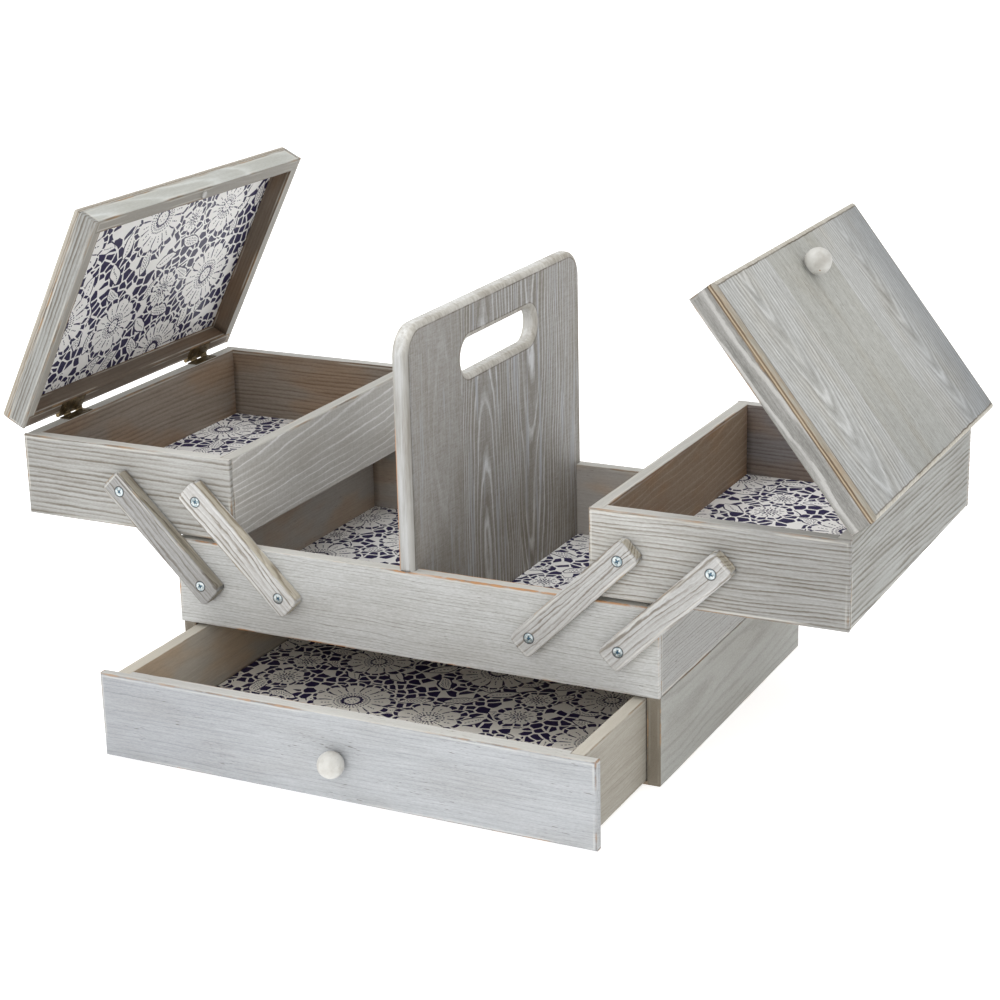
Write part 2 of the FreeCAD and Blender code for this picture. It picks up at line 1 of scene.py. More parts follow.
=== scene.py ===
import bpy, bmesh, json, math, random
from mathutils import Vector, Matrix, noise
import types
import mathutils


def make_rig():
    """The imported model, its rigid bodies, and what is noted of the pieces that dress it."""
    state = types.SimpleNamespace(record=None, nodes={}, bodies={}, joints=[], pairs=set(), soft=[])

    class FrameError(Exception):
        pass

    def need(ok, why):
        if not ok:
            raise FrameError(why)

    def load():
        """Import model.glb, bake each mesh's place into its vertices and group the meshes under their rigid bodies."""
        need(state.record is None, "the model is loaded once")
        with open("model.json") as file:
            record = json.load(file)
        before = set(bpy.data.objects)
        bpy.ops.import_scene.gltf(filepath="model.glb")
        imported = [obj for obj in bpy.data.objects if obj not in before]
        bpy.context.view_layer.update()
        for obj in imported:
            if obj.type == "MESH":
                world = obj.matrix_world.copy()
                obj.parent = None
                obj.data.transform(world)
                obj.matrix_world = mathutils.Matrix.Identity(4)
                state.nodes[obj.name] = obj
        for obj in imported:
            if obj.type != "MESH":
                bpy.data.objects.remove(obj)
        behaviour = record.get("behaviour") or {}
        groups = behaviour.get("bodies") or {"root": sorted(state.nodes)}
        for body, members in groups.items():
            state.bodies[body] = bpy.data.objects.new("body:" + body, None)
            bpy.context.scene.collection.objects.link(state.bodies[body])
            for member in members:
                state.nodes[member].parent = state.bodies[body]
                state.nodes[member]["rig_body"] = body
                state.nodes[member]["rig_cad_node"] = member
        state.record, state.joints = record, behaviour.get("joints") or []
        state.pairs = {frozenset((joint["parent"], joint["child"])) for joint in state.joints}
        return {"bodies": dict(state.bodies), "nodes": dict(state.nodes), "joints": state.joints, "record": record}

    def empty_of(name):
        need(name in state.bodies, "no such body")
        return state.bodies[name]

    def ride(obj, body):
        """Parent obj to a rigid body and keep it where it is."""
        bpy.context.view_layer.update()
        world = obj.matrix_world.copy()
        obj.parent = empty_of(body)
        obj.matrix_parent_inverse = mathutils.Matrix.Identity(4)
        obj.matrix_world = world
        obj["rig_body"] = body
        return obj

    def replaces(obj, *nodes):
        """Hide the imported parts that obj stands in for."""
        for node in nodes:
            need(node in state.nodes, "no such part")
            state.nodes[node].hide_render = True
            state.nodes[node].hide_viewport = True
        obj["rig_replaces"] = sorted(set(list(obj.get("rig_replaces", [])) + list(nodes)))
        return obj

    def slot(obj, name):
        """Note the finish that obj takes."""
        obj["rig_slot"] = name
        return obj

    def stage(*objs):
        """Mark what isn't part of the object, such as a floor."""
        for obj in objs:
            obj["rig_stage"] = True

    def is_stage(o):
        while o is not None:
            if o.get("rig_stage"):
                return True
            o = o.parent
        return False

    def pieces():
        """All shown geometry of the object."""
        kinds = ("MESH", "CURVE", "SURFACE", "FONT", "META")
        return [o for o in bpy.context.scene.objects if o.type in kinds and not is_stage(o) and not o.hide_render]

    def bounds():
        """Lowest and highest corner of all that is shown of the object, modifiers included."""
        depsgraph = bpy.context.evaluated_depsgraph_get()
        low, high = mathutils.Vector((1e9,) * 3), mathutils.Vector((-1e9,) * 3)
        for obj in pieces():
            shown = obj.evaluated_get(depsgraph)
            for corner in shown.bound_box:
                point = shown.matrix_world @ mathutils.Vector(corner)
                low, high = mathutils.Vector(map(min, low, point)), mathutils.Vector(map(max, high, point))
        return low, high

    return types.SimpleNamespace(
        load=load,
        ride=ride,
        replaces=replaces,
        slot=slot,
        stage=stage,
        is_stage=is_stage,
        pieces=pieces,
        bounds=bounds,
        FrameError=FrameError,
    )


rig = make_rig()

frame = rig.load()
cad_lo, cad_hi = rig.bounds()
N = frame["nodes"]
MM = 0.001

# ---------------------------------------------------------------------------
# sizes shared with the part, in millimetres
# ---------------------------------------------------------------------------
W, YT, T, LIP = 380.0, 142.3, 10.0, 3.5
HC, HT = 65.3, 64.6
ZR = HC + HT
ZB0 = ZR + 2.6
ZB1 = ZB0 + 61.65
YB = 141.5
BOX_X = {"right": (139.24, 319.54), "left": (140.71, 321.01)}
OPEN = {"left": 63.15, "right": 52.36}
HINGE_OUT, HINGE_UP = 1.9, 2.15
PX, PZ, AX, AZ = (99.0, 164.55), 99.14, 65.47, 64.08
ARM_L = math.hypot(AX, AZ)
ARM_Y1 = 152.5
LID_GAP, RAIL_H, PANEL_T, LID_EDGE = 1.6, 15.3, 5.4, 3.0
H_TOP, H_R, H_EDGE, TH = 303.4, 22.0, 4.4, 11.9
SLOT = (-59.5, 61.5, 249.2, 274.6)
DY0, DF_T, KNOB_Z = -246.0, 11.3, 30.4
KNOB_U = 156.5

# ---------------------------------------------------------------------------
# camera
# ---------------------------------------------------------------------------
az, el, roll = math.radians(26.5962), math.radians(18.0307), math.radians(-1.3375)
back = Vector((math.sin(az) * math.cos(el), -math.cos(az) * math.cos(el), math.sin(el)))
right = (-back).cross(Vector((0, 0, 1))).normalized()
up = right.cross(-back)
r2 = right * math.cos(roll) + up * math.sin(roll)
u2 = -right * math.sin(roll) + up * math.cos(roll)
cam_d = bpy.data.cameras.new("view_camera")
cam_d.sensor_width = 36.0
cam_d.lens = 36.0 * 2321.223 / 1000.0
cam_d.clip_start, cam_d.clip_end = 0.05, 60.0
cam = bpy.data.objects.new("view_camera", cam_d)
bpy.context.scene.collection.objects.link(cam)
m = Matrix.Identity(4)
for i in range(3):
    m[i][0], m[i][1], m[i][2] = r2[i], u2[i], back[i]
m.translation = (Vector((3.502, 0.0, 139.704)) + back * 1727.494) * MM
cam.matrix_world = m
bpy.context.scene.camera = cam


# ---------------------------------------------------------------------------
# small language for building shader node trees
# ---------------------------------------------------------------------------
def put(tree, sock, v):
    if isinstance(v, S):
        tree.links.new(v.s, sock)
    elif v is not None:
        if sock.type == "RGBA" and len(v) == 3:
            v = (*v, 1.0)
        sock.default_value = v


class S:
    """A socket that can be used in sums."""

    def __init__(self, tree, sock):
        self.t, self.s = tree, sock

    def m(self, op, *a, clamp=False):
        n = self.t.nodes.new("ShaderNodeMath")
        n.operation, n.use_clamp = op, clamp
        put(self.t, n.inputs[0], self)
        for i, v in enumerate(a):
            put(self.t, n.inputs[i + 1], v)
        return S(self.t, n.outputs[0])

    def __add__(self, o): return self.m("ADD", o)
    __radd__ = __add__
    def __sub__(self, o): return self.m("SUBTRACT", o)
    def __rsub__(self, o): return (self * -1.0) + o
    def __mul__(self, o): return self.m("MULTIPLY", o)
    __rmul__ = __mul__
    def __truediv__(self, o): return self.m("DIVIDE", o)
    def abs(self): return self.m("ABSOLUTE")
    def sqrt(self): return self.m("SQRT")
    def sin(self): return self.m("SINE")
    def cos(self): return self.m("COSINE")
    def floor(self): return self.m("FLOOR")
    def fract(self): return self.m("FRACT")
    def pow(self, e): return self.m("POWER", e)
    def min(self, o): return self.m("MINIMUM", o)
    def max(self, o): return self.m("MAXIMUM", o)
    def gt(self, o): return self.m("GREATER_THAN", o)
    def lt(self, o): return self.m("LESS_THAN", o)
    def clamp(self): return self.m("ADD", 0.0, clamp=True)
    def atan2(self, o): return self.m("ARCTAN2", o)
    def wrap(self, hi, lo): return self.m("WRAP", hi, lo)

    def step(self, a, b, lo=0.0, hi=1.0):
        """Smooth step from lo at a to hi at b."""
        n = self.t.nodes.new("ShaderNodeMapRange")
        n.interpolation_type, n.clamp = "SMOOTHSTEP", True
        for i, v in enumerate((self, a, b, lo, hi)):
            put(self.t, n.inputs[i], v)
        return S(self.t, n.outputs[0])

    def lin(self, a, b, lo=0.0, hi=1.0):
        n = self.t.nodes.new("ShaderNodeMapRange")
        n.clamp = True
        for i, v in enumerate((self, a, b, lo, hi)):
            put(self.t, n.inputs[i], v)
        return S(self.t, n.outputs[0])


def vm(v, op, *a):
    n = v.t.nodes.new("ShaderNodeVectorMath")
    n.operation = op
    put(v.t, n.inputs[0], v)
    for i, x in enumerate(a):
        put(v.t, n.inputs[i + 1], x)
    return S(v.t, n.outputs[1] if op in ("LENGTH", "DISTANCE", "DOT_PRODUCT") else n.outputs[0])


def xyz(v):
    n = v.t.nodes.new("ShaderNodeSeparateXYZ")
    put(v.t, n.inputs[0], v)
    return [S(v.t, o) for o in n.outputs]


def vec(t, x, y, z):
    n = t.nodes.new("ShaderNodeCombineXYZ")
    for i, v in enumerate((x, y, z)):
        put(t, n.inputs[i], v)
    return S(t, n.outputs[0])


def attr(t, name, vector=True):
    n = t.nodes.new("ShaderNodeAttribute")
    n.attribute_type, n.attribute_name = "GEOMETRY", name
    return S(t, n.outputs["Vector" if vector else "Fac"])


def nz(v, scale=1.0, detail=2.0, rough=0.5, dist=0.0, stretch=None):
    """Noise from 0 to 1 round 0.5; stretch gives the size of a feature along each axis."""
    if stretch is not None:
        v = vm(v, "MULTIPLY", tuple(1.0 / s for s in stretch))
    n = v.t.nodes.new("ShaderNodeTexNoise")
    n.noise_dimensions = "3D"
    put(v.t, n.inputs["Vector"], v)
    n.inputs["Scale"].default_value = scale
    n.inputs["Detail"].default_value = detail
    n.inputs["Roughness"].default_value = rough
    n.inputs["Distortion"].default_value = dist
    return S(v.t, n.outputs[0])


def vor(v, scale, feature="F1", rnd=1.0, dims="3D"):
    n = v.t.nodes.new("ShaderNodeTexVoronoi")
    n.voronoi_dimensions, n.feature = dims, feature
    put(v.t, n.inputs["Vector"], v)
    n.inputs["Scale"].default_value = scale
    n.inputs["Randomness"].default_value = rnd
    return {k: S(v.t, n.outputs[k]) for k in ("Distance", "Color", "Position") if k in n.outputs and n.outputs[k].enabled}


def mixc(f, a, b, mode="MIX"):
    t = next(x for x in (f, a, b) if isinstance(x, S)).t
    n = t.nodes.new("ShaderNodeMix")
    n.data_type, n.blend_type = "RGBA", mode
    put(t, n.inputs[0], f)
    put(t, n.inputs[6], a)
    put(t, n.inputs[7], b)
    return S(t, n.outputs[2])


def mixf(f, a, b):
    """a where f is 0, b where f is 1."""
    t = next(x for x in (f, a, b) if isinstance(x, S)).t
    n = t.nodes.new("ShaderNodeMix")
    n.data_type = "FLOAT"
    put(t, n.inputs[0], f)
    put(t, n.inputs[2], a)
    put(t, n.inputs[3], b)
    return S(t, n.outputs[0])


def new_tree(name):
    m = bpy.data.materials.new(name)
    m.use_nodes = True
    m.node_tree.nodes.clear()
    return m, m.node_tree


def surface(t, colour, rough, height_mm=None, metallic=0.0, spec=0.5, coat=0.0, coat_rough=0.2, bump=1.0):
    b = t.nodes.new("ShaderNodeBsdfPrincipled")
    put(t, b.inputs["Base Color"], colour)
    put(t, b.inputs["Roughness"], rough)
    b.inputs["Metallic"].default_value = metallic
    b.inputs["Specular IOR Level"].default_value = spec
    b.inputs["Coat Weight"].default_value = coat
    b.inputs["Coat Roughness"].default_value = coat_rough
    if height_mm is not None:
        n = t.nodes.new("ShaderNodeBump")
        n.inputs["Strength"].default_value = bump
        n.inputs["Distance"].default_value = MM
        put(t, n.inputs["Height"], height_mm)
        t.links.new(n.outputs[0], b.inputs["Normal"])
    o = t.nodes.new("ShaderNodeOutputMaterial")
    t.links.new(b.outputs[0], o.inputs[0])


def rgb(r, g, b):
    """A display colour, 0 to 255, as linear light."""
    return tuple((c / 255 / 12.92) if c / 255 <= 0.04045 else ((c / 255 + 0.055) / 1.055) ** 2.4 for c in (r, g, b))


# ---------------------------------------------------------------------------
# wood: boards carry their own coordinates (x along the grain, y across, z to the show face)
#   bp  place on the board in mm        bh  half sizes in mm
#   so  offset for this board's noise   wq  pith across, pith depth, ring spacing
#   wr  slope of the pith, contrast, zone (0 outside, 1 rim, 2 inside)
# ---------------------------------------------------------------------------
def wood(name, ext, rim, inner, worn, warp=5.0, ring_var=1.6, jit=0.5, line=(0.10, 0.45), bright=False, ground=0.62,
         wave=0.6, fine=0.5, fibre=0.6, pores=0.3, speck=0.0, blotch=0.3, tint=(0.60, 0.55, 0.48), streak=0.0, hatch=0.0,
         relief=0.12, rough=0.62, wear=1.0, pale_line=0.5, handle=False, spec=0.35, orange=0.0, bevel=0.0, edge_ring=0.0,
         dip=0.0, fade=None, grit=0.38,
         pivots=0.0, seam_k=1.0, fade_y=None, top_worn=None):
    """line is where a ring's line peaks and ends, as parts of the ring; bright lines stand out, dark ones sink."""
    m, t = new_tree(name)
    bp, bh, so, wq, wr = (attr(t, k) for k in ("bp", "bh", "so", "wq", "wr"))
    q = vm(bp, "ADD", so)
    x, y, z = xyz(bp)
    py, pz, sp = xyz(wq)
    slope, contrast, zone = xyz(wr)
    isrim = zone.lin(0.4, 0.6) * zone.lin(1.6, 1.4)
    isin = zone.lin(1.4, 1.6)
    # growth rings cut by the board
    n1 = nz(q, detail=1.5, stretch=(95, 34, 34)) - 0.5
    n2 = nz(vm(q, "ADD", (37.0, 11.0, 5.0)), detail=1.0, stretch=(150, 60, 60)) - 0.5
    n3 = nz(vm(q, "ADD", (7.0, 51.0, 5.0)), detail=2.0, stretch=(11, 2.6, 2.6)) - 0.5
    yy = y - py + n1 * (warp * 2.0)
    zz = z - pz + n2 * (warp * 2.0) + x * slope
    r = (yy * yy + zz * zz).sqrt()
    rv = nz(vec(t, r * (1.0 / 7.0), x * 0.004, so.m("ADD", 0.0)), detail=1.0) - 0.5
    ph = (r + rv * (ring_var * 2.0) + n3 * (jit * 2.0)) / sp
    u = ph.fract()
    shape = u.step(0.0, line[0]).min(u.step(line[1], line[0]))
    soft = (ph * (2 * math.pi)).sin() * 0.5
    amp = nz(vec(t, ph.floor() * 3.7, x * 0.011, y * 0.01), detail=2.5).step(0.30, 0.62, 0.30, 1.0)
    k = contrast * (1.0 - isrim * 0.6) * (1.0 - isin * 0.5)
    d = shape * amp * k
    if dip:
        d = (shape - u.step(line[1], line[1] + 0.08).min(u.step(line[1] + 0.34, line[1] + 0.12)) * dip) * amp * k
    # fibre, streaks, blotches, pores
    fb = nz(q, detail=2.0, rough=0.65, stretch=(9, 0.5, 0.5))
    st = nz(vm(q, "ADD", (0.0, 90.0, 3.0)), detail=2.0, stretch=(60, 2.6, 2.6))
    bl = nz(vm(q, "ADD", (5.0, 3.0, 60.0)), detail=2.0, stretch=(70, 30, 30))
    gr = nz(vm(q, "ADD", (31.0, 4.0, 9.0)), detail=1.0, stretch=(2.4, 0.8, 0.8))
    fine_k = contrast.lin(0.12, 0.45, fine * 0.25, fine) if handle else fine
    f = (st - 0.5) * fine_k + (fb - 0.5) * fibre + (gr - 0.5) * grit + soft * k * (wave * 0.5) + ground
    f = (f + d) if bright else (f - d)
    if hatch:
        hn = nz(vm(q, "ADD", (71.0, 3.0, 6.0)), detail=1.0, stretch=(0.8, 9, 9))
        f = f + (hn - 0.5) * hatch
    f = f.clamp()

    def zone_col(a, b, c):
        return mixc(isin, mixc(isrim, a, b), c)

    col = mixc(f, zone_col(ext[0], rim[0], inner[0]), zone_col(ext[1], rim[1], inner[1]))
    if streak:
        sk = nz(vm(q, "ADD", (11.0, 9.0, 3.0)), detail=1.5, stretch=(120, 7, 7)).step(0.555, 0.66) * (st.step(0.38, 0.6))
        col = mixc((sk * streak).clamp(), col, G(188, 192, 200))
    col = mixc((bl.step(0.42, 0.75) * blotch * (1.0 - isrim * 0.6)).clamp(), col, vmul(col, tint))
    col = mixc((bl.step(0.44, 0.66) * isin * 0.58).clamp(), col, vmul(col, (1.22, 0.96, 0.72)))
    if pores:
        pr = nz(vm(q, "ADD", (15.0, 7.0, 6.0)), detail=1.0, stretch=(7, 0.6, 0.6)).step(0.66, 0.75)
        pr = pr * nz(vm(q, "ADD", (2.0, 7.0, 16.0)), detail=1.0, stretch=(34, 16, 16)).step(0.46, 0.64) * pores
        col = mixc(pr.clamp(), col, vmul(col, (0.42, 0.38, 0.34)))
    if speck:
        col = mixc(((nz(q, detail=1.0, stretch=(1.6, 0.9, 0.9)) - 0.5).abs() * speck).clamp(), col, vmul(col, (0.55, 0.53, 0.50)))
    if bevel:
        mid = contrast.step(0.29, 0.22)
        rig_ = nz(vm(q, "ADD", (5.0, 17.0, 6.0)), detail=1.0, stretch=(4.5, 1.1, 1.1)).step(0.56, 0.68)
        col = mixc((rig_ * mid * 0.45).clamp(), mixc(mid, col, vmul(col, (0.93, 0.925, 0.89))), vmul(col, (0.62, 0.60, 0.55)))
    if fade_y:
        col = mixc(y.step(fade_y[0], fade_y[1]), col, vmul(col, fade_y[2]))
    # fade scales the colour along the board's length; on the handle it is painted shade
    if fade:
        col = mixc(x.step(fade[0], fade[1]), col, vmul(col, fade[2]))
    # distance to the nearest edge of the board
    if handle:
        inside = (y.abs() * -1.0 + YT).min(x * -1.0 + bh_x(bh))
        ox, oz = (y.abs() - (YT - H_R)).max(0.0), (x - (bh_x(bh) - H_R)).max(0.0)
        corner = (ox * ox + oz * oz).sqrt() * -1.0 + H_R
        ed_o = mixf(ox.gt(0.001) * oz.gt(0.001), inside, corner)
        zc = (SLOT[2] + SLOT[3]) / 2 - (H_TOP + HC + 6.0) / 2
        rs = (SLOT[3] - SLOT[2]) / 2
        yc = (SLOT[0] + SLOT[1]) / 2
        hl = (SLOT[1] - SLOT[0]) / 2 - rs
        sy = ((y - yc).abs() - hl).max(0.0)
        sx = x - zc
        ed = ed_o.min((sy * sy + sx * sx).sqrt() - rs).max(0.0)
    else:
        a = vm(bh, "SUBTRACT", vm(bp, "ABSOLUTE"))
        ax, ay, az_ = xyz(a)
        big = ax.max(ay).max(az_)
        sml = ax.min(ay).min(az_)
        ed = (ax + ay + az_ - big - sml).max(0.0)
    wn = nz(vm(q, "ADD", (3.0, 30.0, 8.0)), detail=3.0, rough=0.6, stretch=(14, 7, 7))
    wl = nz(vm(q, "ADD", (43.0, 3.0, 8.0)), detail=2.0, stretch=(55, 30, 30))
    if handle:
        rnd = ed.step(H_EDGE + 0.3, H_EDGE - 0.9)
        col = mixc(rnd, col, mixc(((fb - 0.5) * 0.7 + (st - 0.5) * 1.2 + (bl - 0.5) * 1.3 + 0.75).clamp(), rim[0], rim[1]))
        col = mixc((rnd * z.abs().step(2.0, 4.2)).clamp(), col, vmul(col, (0.88, 0.86, 0.82)))
        col = mixc((rnd * (y + YT).step(7.0, 4.0) * 0.85).clamp(), col, vmul(col, (0.86, 0.86, 0.86)))
        frt = (y + YT).step(9.0, 5.0) * x.step(bh_x(bh) - 6.0, bh_x(bh) - 26.0)
        col = mixc(frt, col, vmul(col, (0.83, 0.84, 0.86)))
        ln = (ed - (H_EDGE + 0.1)).abs().step(0.75, 0.15) * wn.lin(0.35, 0.6, 0.25, 1.0)
        col = mixc((ln * 0.8).clamp(), col, worn[1])
        low = x.step(70.0, 30.0)
        org = (z + 4.6).abs().step(0.8, 0.25) * (y + YT).step(7.0, 5.0) * wn.step(0.36, 0.50) * low
        col = mixc(org.clamp(), col, worn[0])
    else:
        wth = (wn - 0.5) * 5.0 + (wl - 0.5) * 4.0
        e1 = ed.step(wth * 0.5 + 1.25 * wear, wth * 0.5 + 0.35 * wear - 0.2)
        e2 = (ed - 1.9).abs().step(0.9, 0.15) * wl.step(0.40, 0.60)
        col = mixc((e2 * pale_line).clamp(), col, worn[2])
        e1 = e1 * wl.step(0.44, 0.62, 0.08, 0.85)
        tone = mixc(wn.step(0.40, 0.62), worn[1], worn[0])
        if orange:
            col = mixc((e1 * wn.step(0.40, 0.56) * orange).clamp(), col, worn[0])
        col = mixc(e1.clamp(), col, tone)
        if top_worn:
            arris = ed.step(1.7, 0.7) * y.step(20.0, 22.0) * x.step(top_worn[0], top_worn[1])
            col = mixc((arris * wn.step(0.36, 0.52, 0.15, 0.80)).clamp(), col, worn[0])
    h = (d * relief) if bright else (d * -relief)
    if pivots:
        px_ = x.abs() - pivots
        pr_ = (px_ * px_ + y * y).sqrt()
        # painted shadow: a dark ring round each screw hole, for the shade in the gap round the head
        col = mixc(((pr_ - 3.9).abs().step(0.55, 0.15) * 0.7).clamp(), col, G(62, 58, 54))
        onside = az_.step(0.4, 1.4) * ax.min(ay).step(0.8, 0.3)
        col = mixc(onside.clamp(), col, vmul(col, (0.97, 0.90, 0.76)))
    if bevel:
        hz = xyz(bh)[2]
        sd = ax.min(ay)
        if edge_ring:
            eu = ((z + n3 * 1.6) * (1.0 / edge_ring)).fract()
            es = eu.step(0.0, 0.35).min(eu.step(0.8, 0.35))
            onside = sd.step(0.9, 0.3)
            col = mixc((onside * 0.95).clamp(), col, mixc((es + (fb - 0.5) * fibre).clamp(), G(196, 194, 188), G(128, 120, 108)))
            h = h - es * onside * 0.22
        top_band = sd.step(bevel + 0.35, bevel - 0.5) * (z - hz).step(-bevel - 0.1, -bevel + 0.5)
        band = mixc(((fb - 0.5) * 0.6 + (st - 0.5) * 1.4 + 0.5).clamp(), G(160, 149, 128), G(214, 211, 202))
        seam = mixc((wn.step(0.40, 0.60) * 0.7 + wl.step(0.45, 0.60) * 0.3).clamp(), G(126, 118, 102), G(150, 122, 86))
        seam = mixc(((fb - 0.5) * 1.6 + 0.35).clamp(), seam, G(168, 163, 150))
        band = mixc(ay.step(bevel + 0.2, bevel - 0.8) * (seam_k * 0.85), band, seam)
        col = mixc((top_band * 0.85).clamp(), col, band)
        ln = (sd - bevel - 0.1 + (wn - 0.5) * 1.6).abs().step(0.75, 0.20) * (z - hz).gt(-0.4)
        col = mixc((ln * wl.lin(0.35, 0.6, 0.45, 0.95)).clamp(), col, G(96, 86, 72))
        tz = hz - z + (wn - 0.5) * 0.9
        onw = sd.step(1.6, 0.9)
        col = mixc((tz.step(1.9, 2.6) * onw * (0.85 * seam_k)).clamp(), col, mixc(fb, G(146, 124, 92), G(190, 172, 142)))
        ln2 = (tz - 2.9).abs().step(0.85, 0.3).max((tz - 4.9).abs().step(0.75, 0.25))
        col = mixc((ln2 * onw * wl.lin(0.30, 0.55, 0.70, 0.98) * seam_k).clamp(), col, worn[1])
    h = h + (fb - 0.5) * 0.07 * fibre + soft * k * (relief * 0.4)
    h = h * (1.0 - isrim * 0.5)
    if handle:
        h = h * (1.0 - rnd)
    col = vmul(col, (0.895, 0.895, 0.895))
    rg = (fb - 0.5) * 0.10 + rough
    surface(t, col, rg, h, spec=spec)
    return m


def bh_x(bh):
    return xyz(bh)[0]


def vmul(c, k):
    return mixc(1.0, c, k, "MULTIPLY")


G = rgb
MAT = {}
WORN = (G(158, 130, 100), G(104, 90, 74), G(222, 219, 210))


def gain(pair, r, g=None, b=None):
    k = (r, r if g is None else g, r if b is None else b)
    return tuple(tuple(min(0.95, c * f) for c, f in zip(col, k)) for col in pair)


BOX_RIM = (G(182, 180, 173), G(212, 211, 206))
IN_LEFT = gain((G(104, 82, 62), G(166, 148, 130)), 0.99, 1.10, 1.22)
# right box inside: the brown is the wood's own stain; the gain of about two over the left box is painted light, for
# light that does not reach in
IN_RIGHT_PAINTED_LIGHT = gain((G(108, 88, 70), G(164, 144, 124)), 1.80, 1.95, 2.05)
for k_, in_, fd, g_ in (("", IN_LEFT, (40.0, -120.0, (0.82, 0.82, 0.82)), (0.72, 0.735, 0.755)),
                        ("_right", IN_RIGHT_PAINTED_LIGHT, (-100.0, 60.0, (0.56, 0.56, 0.56)), (0.93, 0.95, 0.98)),
                        ("_rear", gain((G(100, 84, 70), G(158, 144, 130)), 0.90, 1.05, 1.32), (40.0, -120.0, (0.84, 0.84, 0.84)), (0.93, 0.95, 0.98)),
                        ("_outer", IN_RIGHT_PAINTED_LIGHT, (60.0, 120.0, (0.94, 0.94, 0.94)), (0.61, 0.635, 0.65))):
    MAT["box" + k_] = wood("wood_box" + k_, gain((G(140, 131, 117), G(226, 225, 220)), *g_), BOX_RIM, in_, WORN, fade=fd,
                           warp=3.0, ring_var=1.6, line=(0.30, 0.75), ground=0.72, wave=0.40, fine=0.45, fibre=0.45, pores=0.15,
                           blotch=0.25, relief=0.20, jit=0.55)
    MAT["inwall" + k_] = wood("wood_box_inner_wall" + k_, gain((G(158, 154, 146), G(226, 227, 226)), 1.30, 1.33, 1.36), BOX_RIM, in_, WORN,
                              warp=5.0, ring_var=1.6, line=(0.12, 0.30), bright=True, ground=0.22, wave=0.2, fine=0.3, fibre=0.3,
                              hatch=0.25, pores=0.1, blotch=0.25, relief=0.10, jit=0.6)
for k_, g_ in (("", 0.81), ("_front", 1.11)):
    MAT["tray" + k_] = wood("wood_tray" + k_, gain((G(140, 137, 129), G(212, 212, 209)), g_ * 0.98, g_, g_ * 1.035), (G(184, 182, 174), G(214, 213, 208)),
                            gain((G(112, 100, 88), G(140, 130, 118)), 2.0, 2.25, 2.6), WORN if k_ == "" else (G(186, 140, 98), G(100, 84, 68), G(220, 216, 208)),
                            warp=3.0, line=(0.15, 0.4), ground=0.62, wave=0.2, relief=0.07, fine=0.38, fibre=0.5, pores=0.9, blotch=0.2, orange=1.3, grit=0.5, top_worn=None if k_ == "" else (0.0, 30.0))
MAT["carcass"] = wood("wood_carcass", gain((G(150, 148, 141), G(204, 204, 199)), 0.82, 0.835, 0.845), (G(112, 104, 91), G(134, 126, 112)),
                      (G(112, 100, 88), G(140, 130, 118)), WORN, wear=0.5, warp=4.0, line=(0.2, 0.6), ground=0.60, wave=0.25, relief=0.06,
                      fine=0.28, fibre=0.6, pores=0.35, speck=1.2, blotch=0.25, pale_line=0.1)
LID_RIM = (G(140, 136, 128), G(170, 167, 160))
LID_IN = gain((G(98, 84, 71), G(132, 118, 103)), 0.85)
LID_WORN = (G(156, 124, 86), G(96, 80, 62), G(216, 212, 202))
MAT["lid"] = wood("wood_lid_rail", gain((G(160, 158, 149), G(206, 207, 202)), 1.03, 1.05, 1.07), LID_RIM, LID_IN, LID_WORN,
                  warp=6.0, line=(0.15, 0.35), bright=True, ground=0.45, wave=0.3, relief=0.05, fine=0.35, fibre=0.5, pores=0.1,
                  blotch=0.22, tint=(0.78, 0.76, 0.70), wear=1.1)
for k_, er in (("_left", 2.3), ("_right", 0.0)):
    MAT["lidtop" + k_] = wood("wood_lid_top" + k_, gain((G(142, 141, 133), G(218, 218, 213)), 1.0, 1.01, 1.05), (G(176, 173, 163), G(206, 204, 196)),
                              LID_IN, LID_WORN, warp=4.0, line=(0.30, 0.60), bright=True, ground=0.42, wave=0.3, relief=0.05, dip=0.45, jit=1.1,
                              fade=(0.0, 110.0, (0.86, 0.87, 0.89)), fade_y=(50.0, 140.0, (0.66, 0.68, 0.71)), fine=0.55, fibre=0.9, pores=0.3, blotch=0.50, tint=(0.86, 0.81, 0.72), wear=0.4, pale_line=0.0,
                              bevel=LID_EDGE, edge_ring=er, seam_k=1.0 if k_ == "_right" else 0.25)
MAT["lidhinge"] = wood("wood_lid_hinge_rail", gain((G(160, 158, 149), G(206, 207, 202)), 1.08, 1.10, 1.12), (G(96, 84, 72), G(128, 114, 100)), LID_IN,
                       LID_WORN, warp=4.0, line=(0.30, 0.75), ground=0.6, wave=0.3, relief=0.05, fine=0.4, fibre=0.5, pores=0.2, blotch=0.3)
MAT["lidend_left"] = wood("wood_lid_end_left", gain((G(140, 131, 119), G(214, 213, 207)), 0.62, 0.645, 0.67), LID_RIM, LID_IN, LID_WORN,
                          warp=1.6, line=(0.30, 0.75), ground=0.74, wave=0.45, relief=0.26, fine=0.5, fibre=0.5, pores=0.2, blotch=0.2, wear=1.0)
MAT["lidend_right"] = wood("wood_lid_end_right", (G(106, 105, 100), G(182, 181, 178)), LID_RIM, LID_IN, LID_WORN,
                           warp=5.0, ring_var=2.0, line=(0.12, 0.45), bright=True, ground=0.38, wave=0.25, relief=0.08, fine=0.7, fibre=0.8,
                           pores=0.25, speck=1.3, blotch=0.3, wear=0.8, pale_line=0.15, jit=1.0)
MAT["front"] = wood("wood_drawer_front", gain((G(174, 177, 179), G(228, 230, 232)), 0.69, 0.695, 0.705), (G(188, 187, 182), G(212, 211, 206)),
                    gain((G(130, 120, 108), G(160, 150, 138)), 2.0), (G(170, 136, 104), G(92, 76, 60), G(214, 214, 210)),
                    warp=3.0, line=(0.15, 0.4), ground=0.6, wave=0.2, relief=0.05, fine=0.7, fibre=0.7, pores=1.2, speck=0.3, blotch=0.2, grit=0.55, fade=(-10.0, -150.0, (0.86, 0.86, 0.87)))
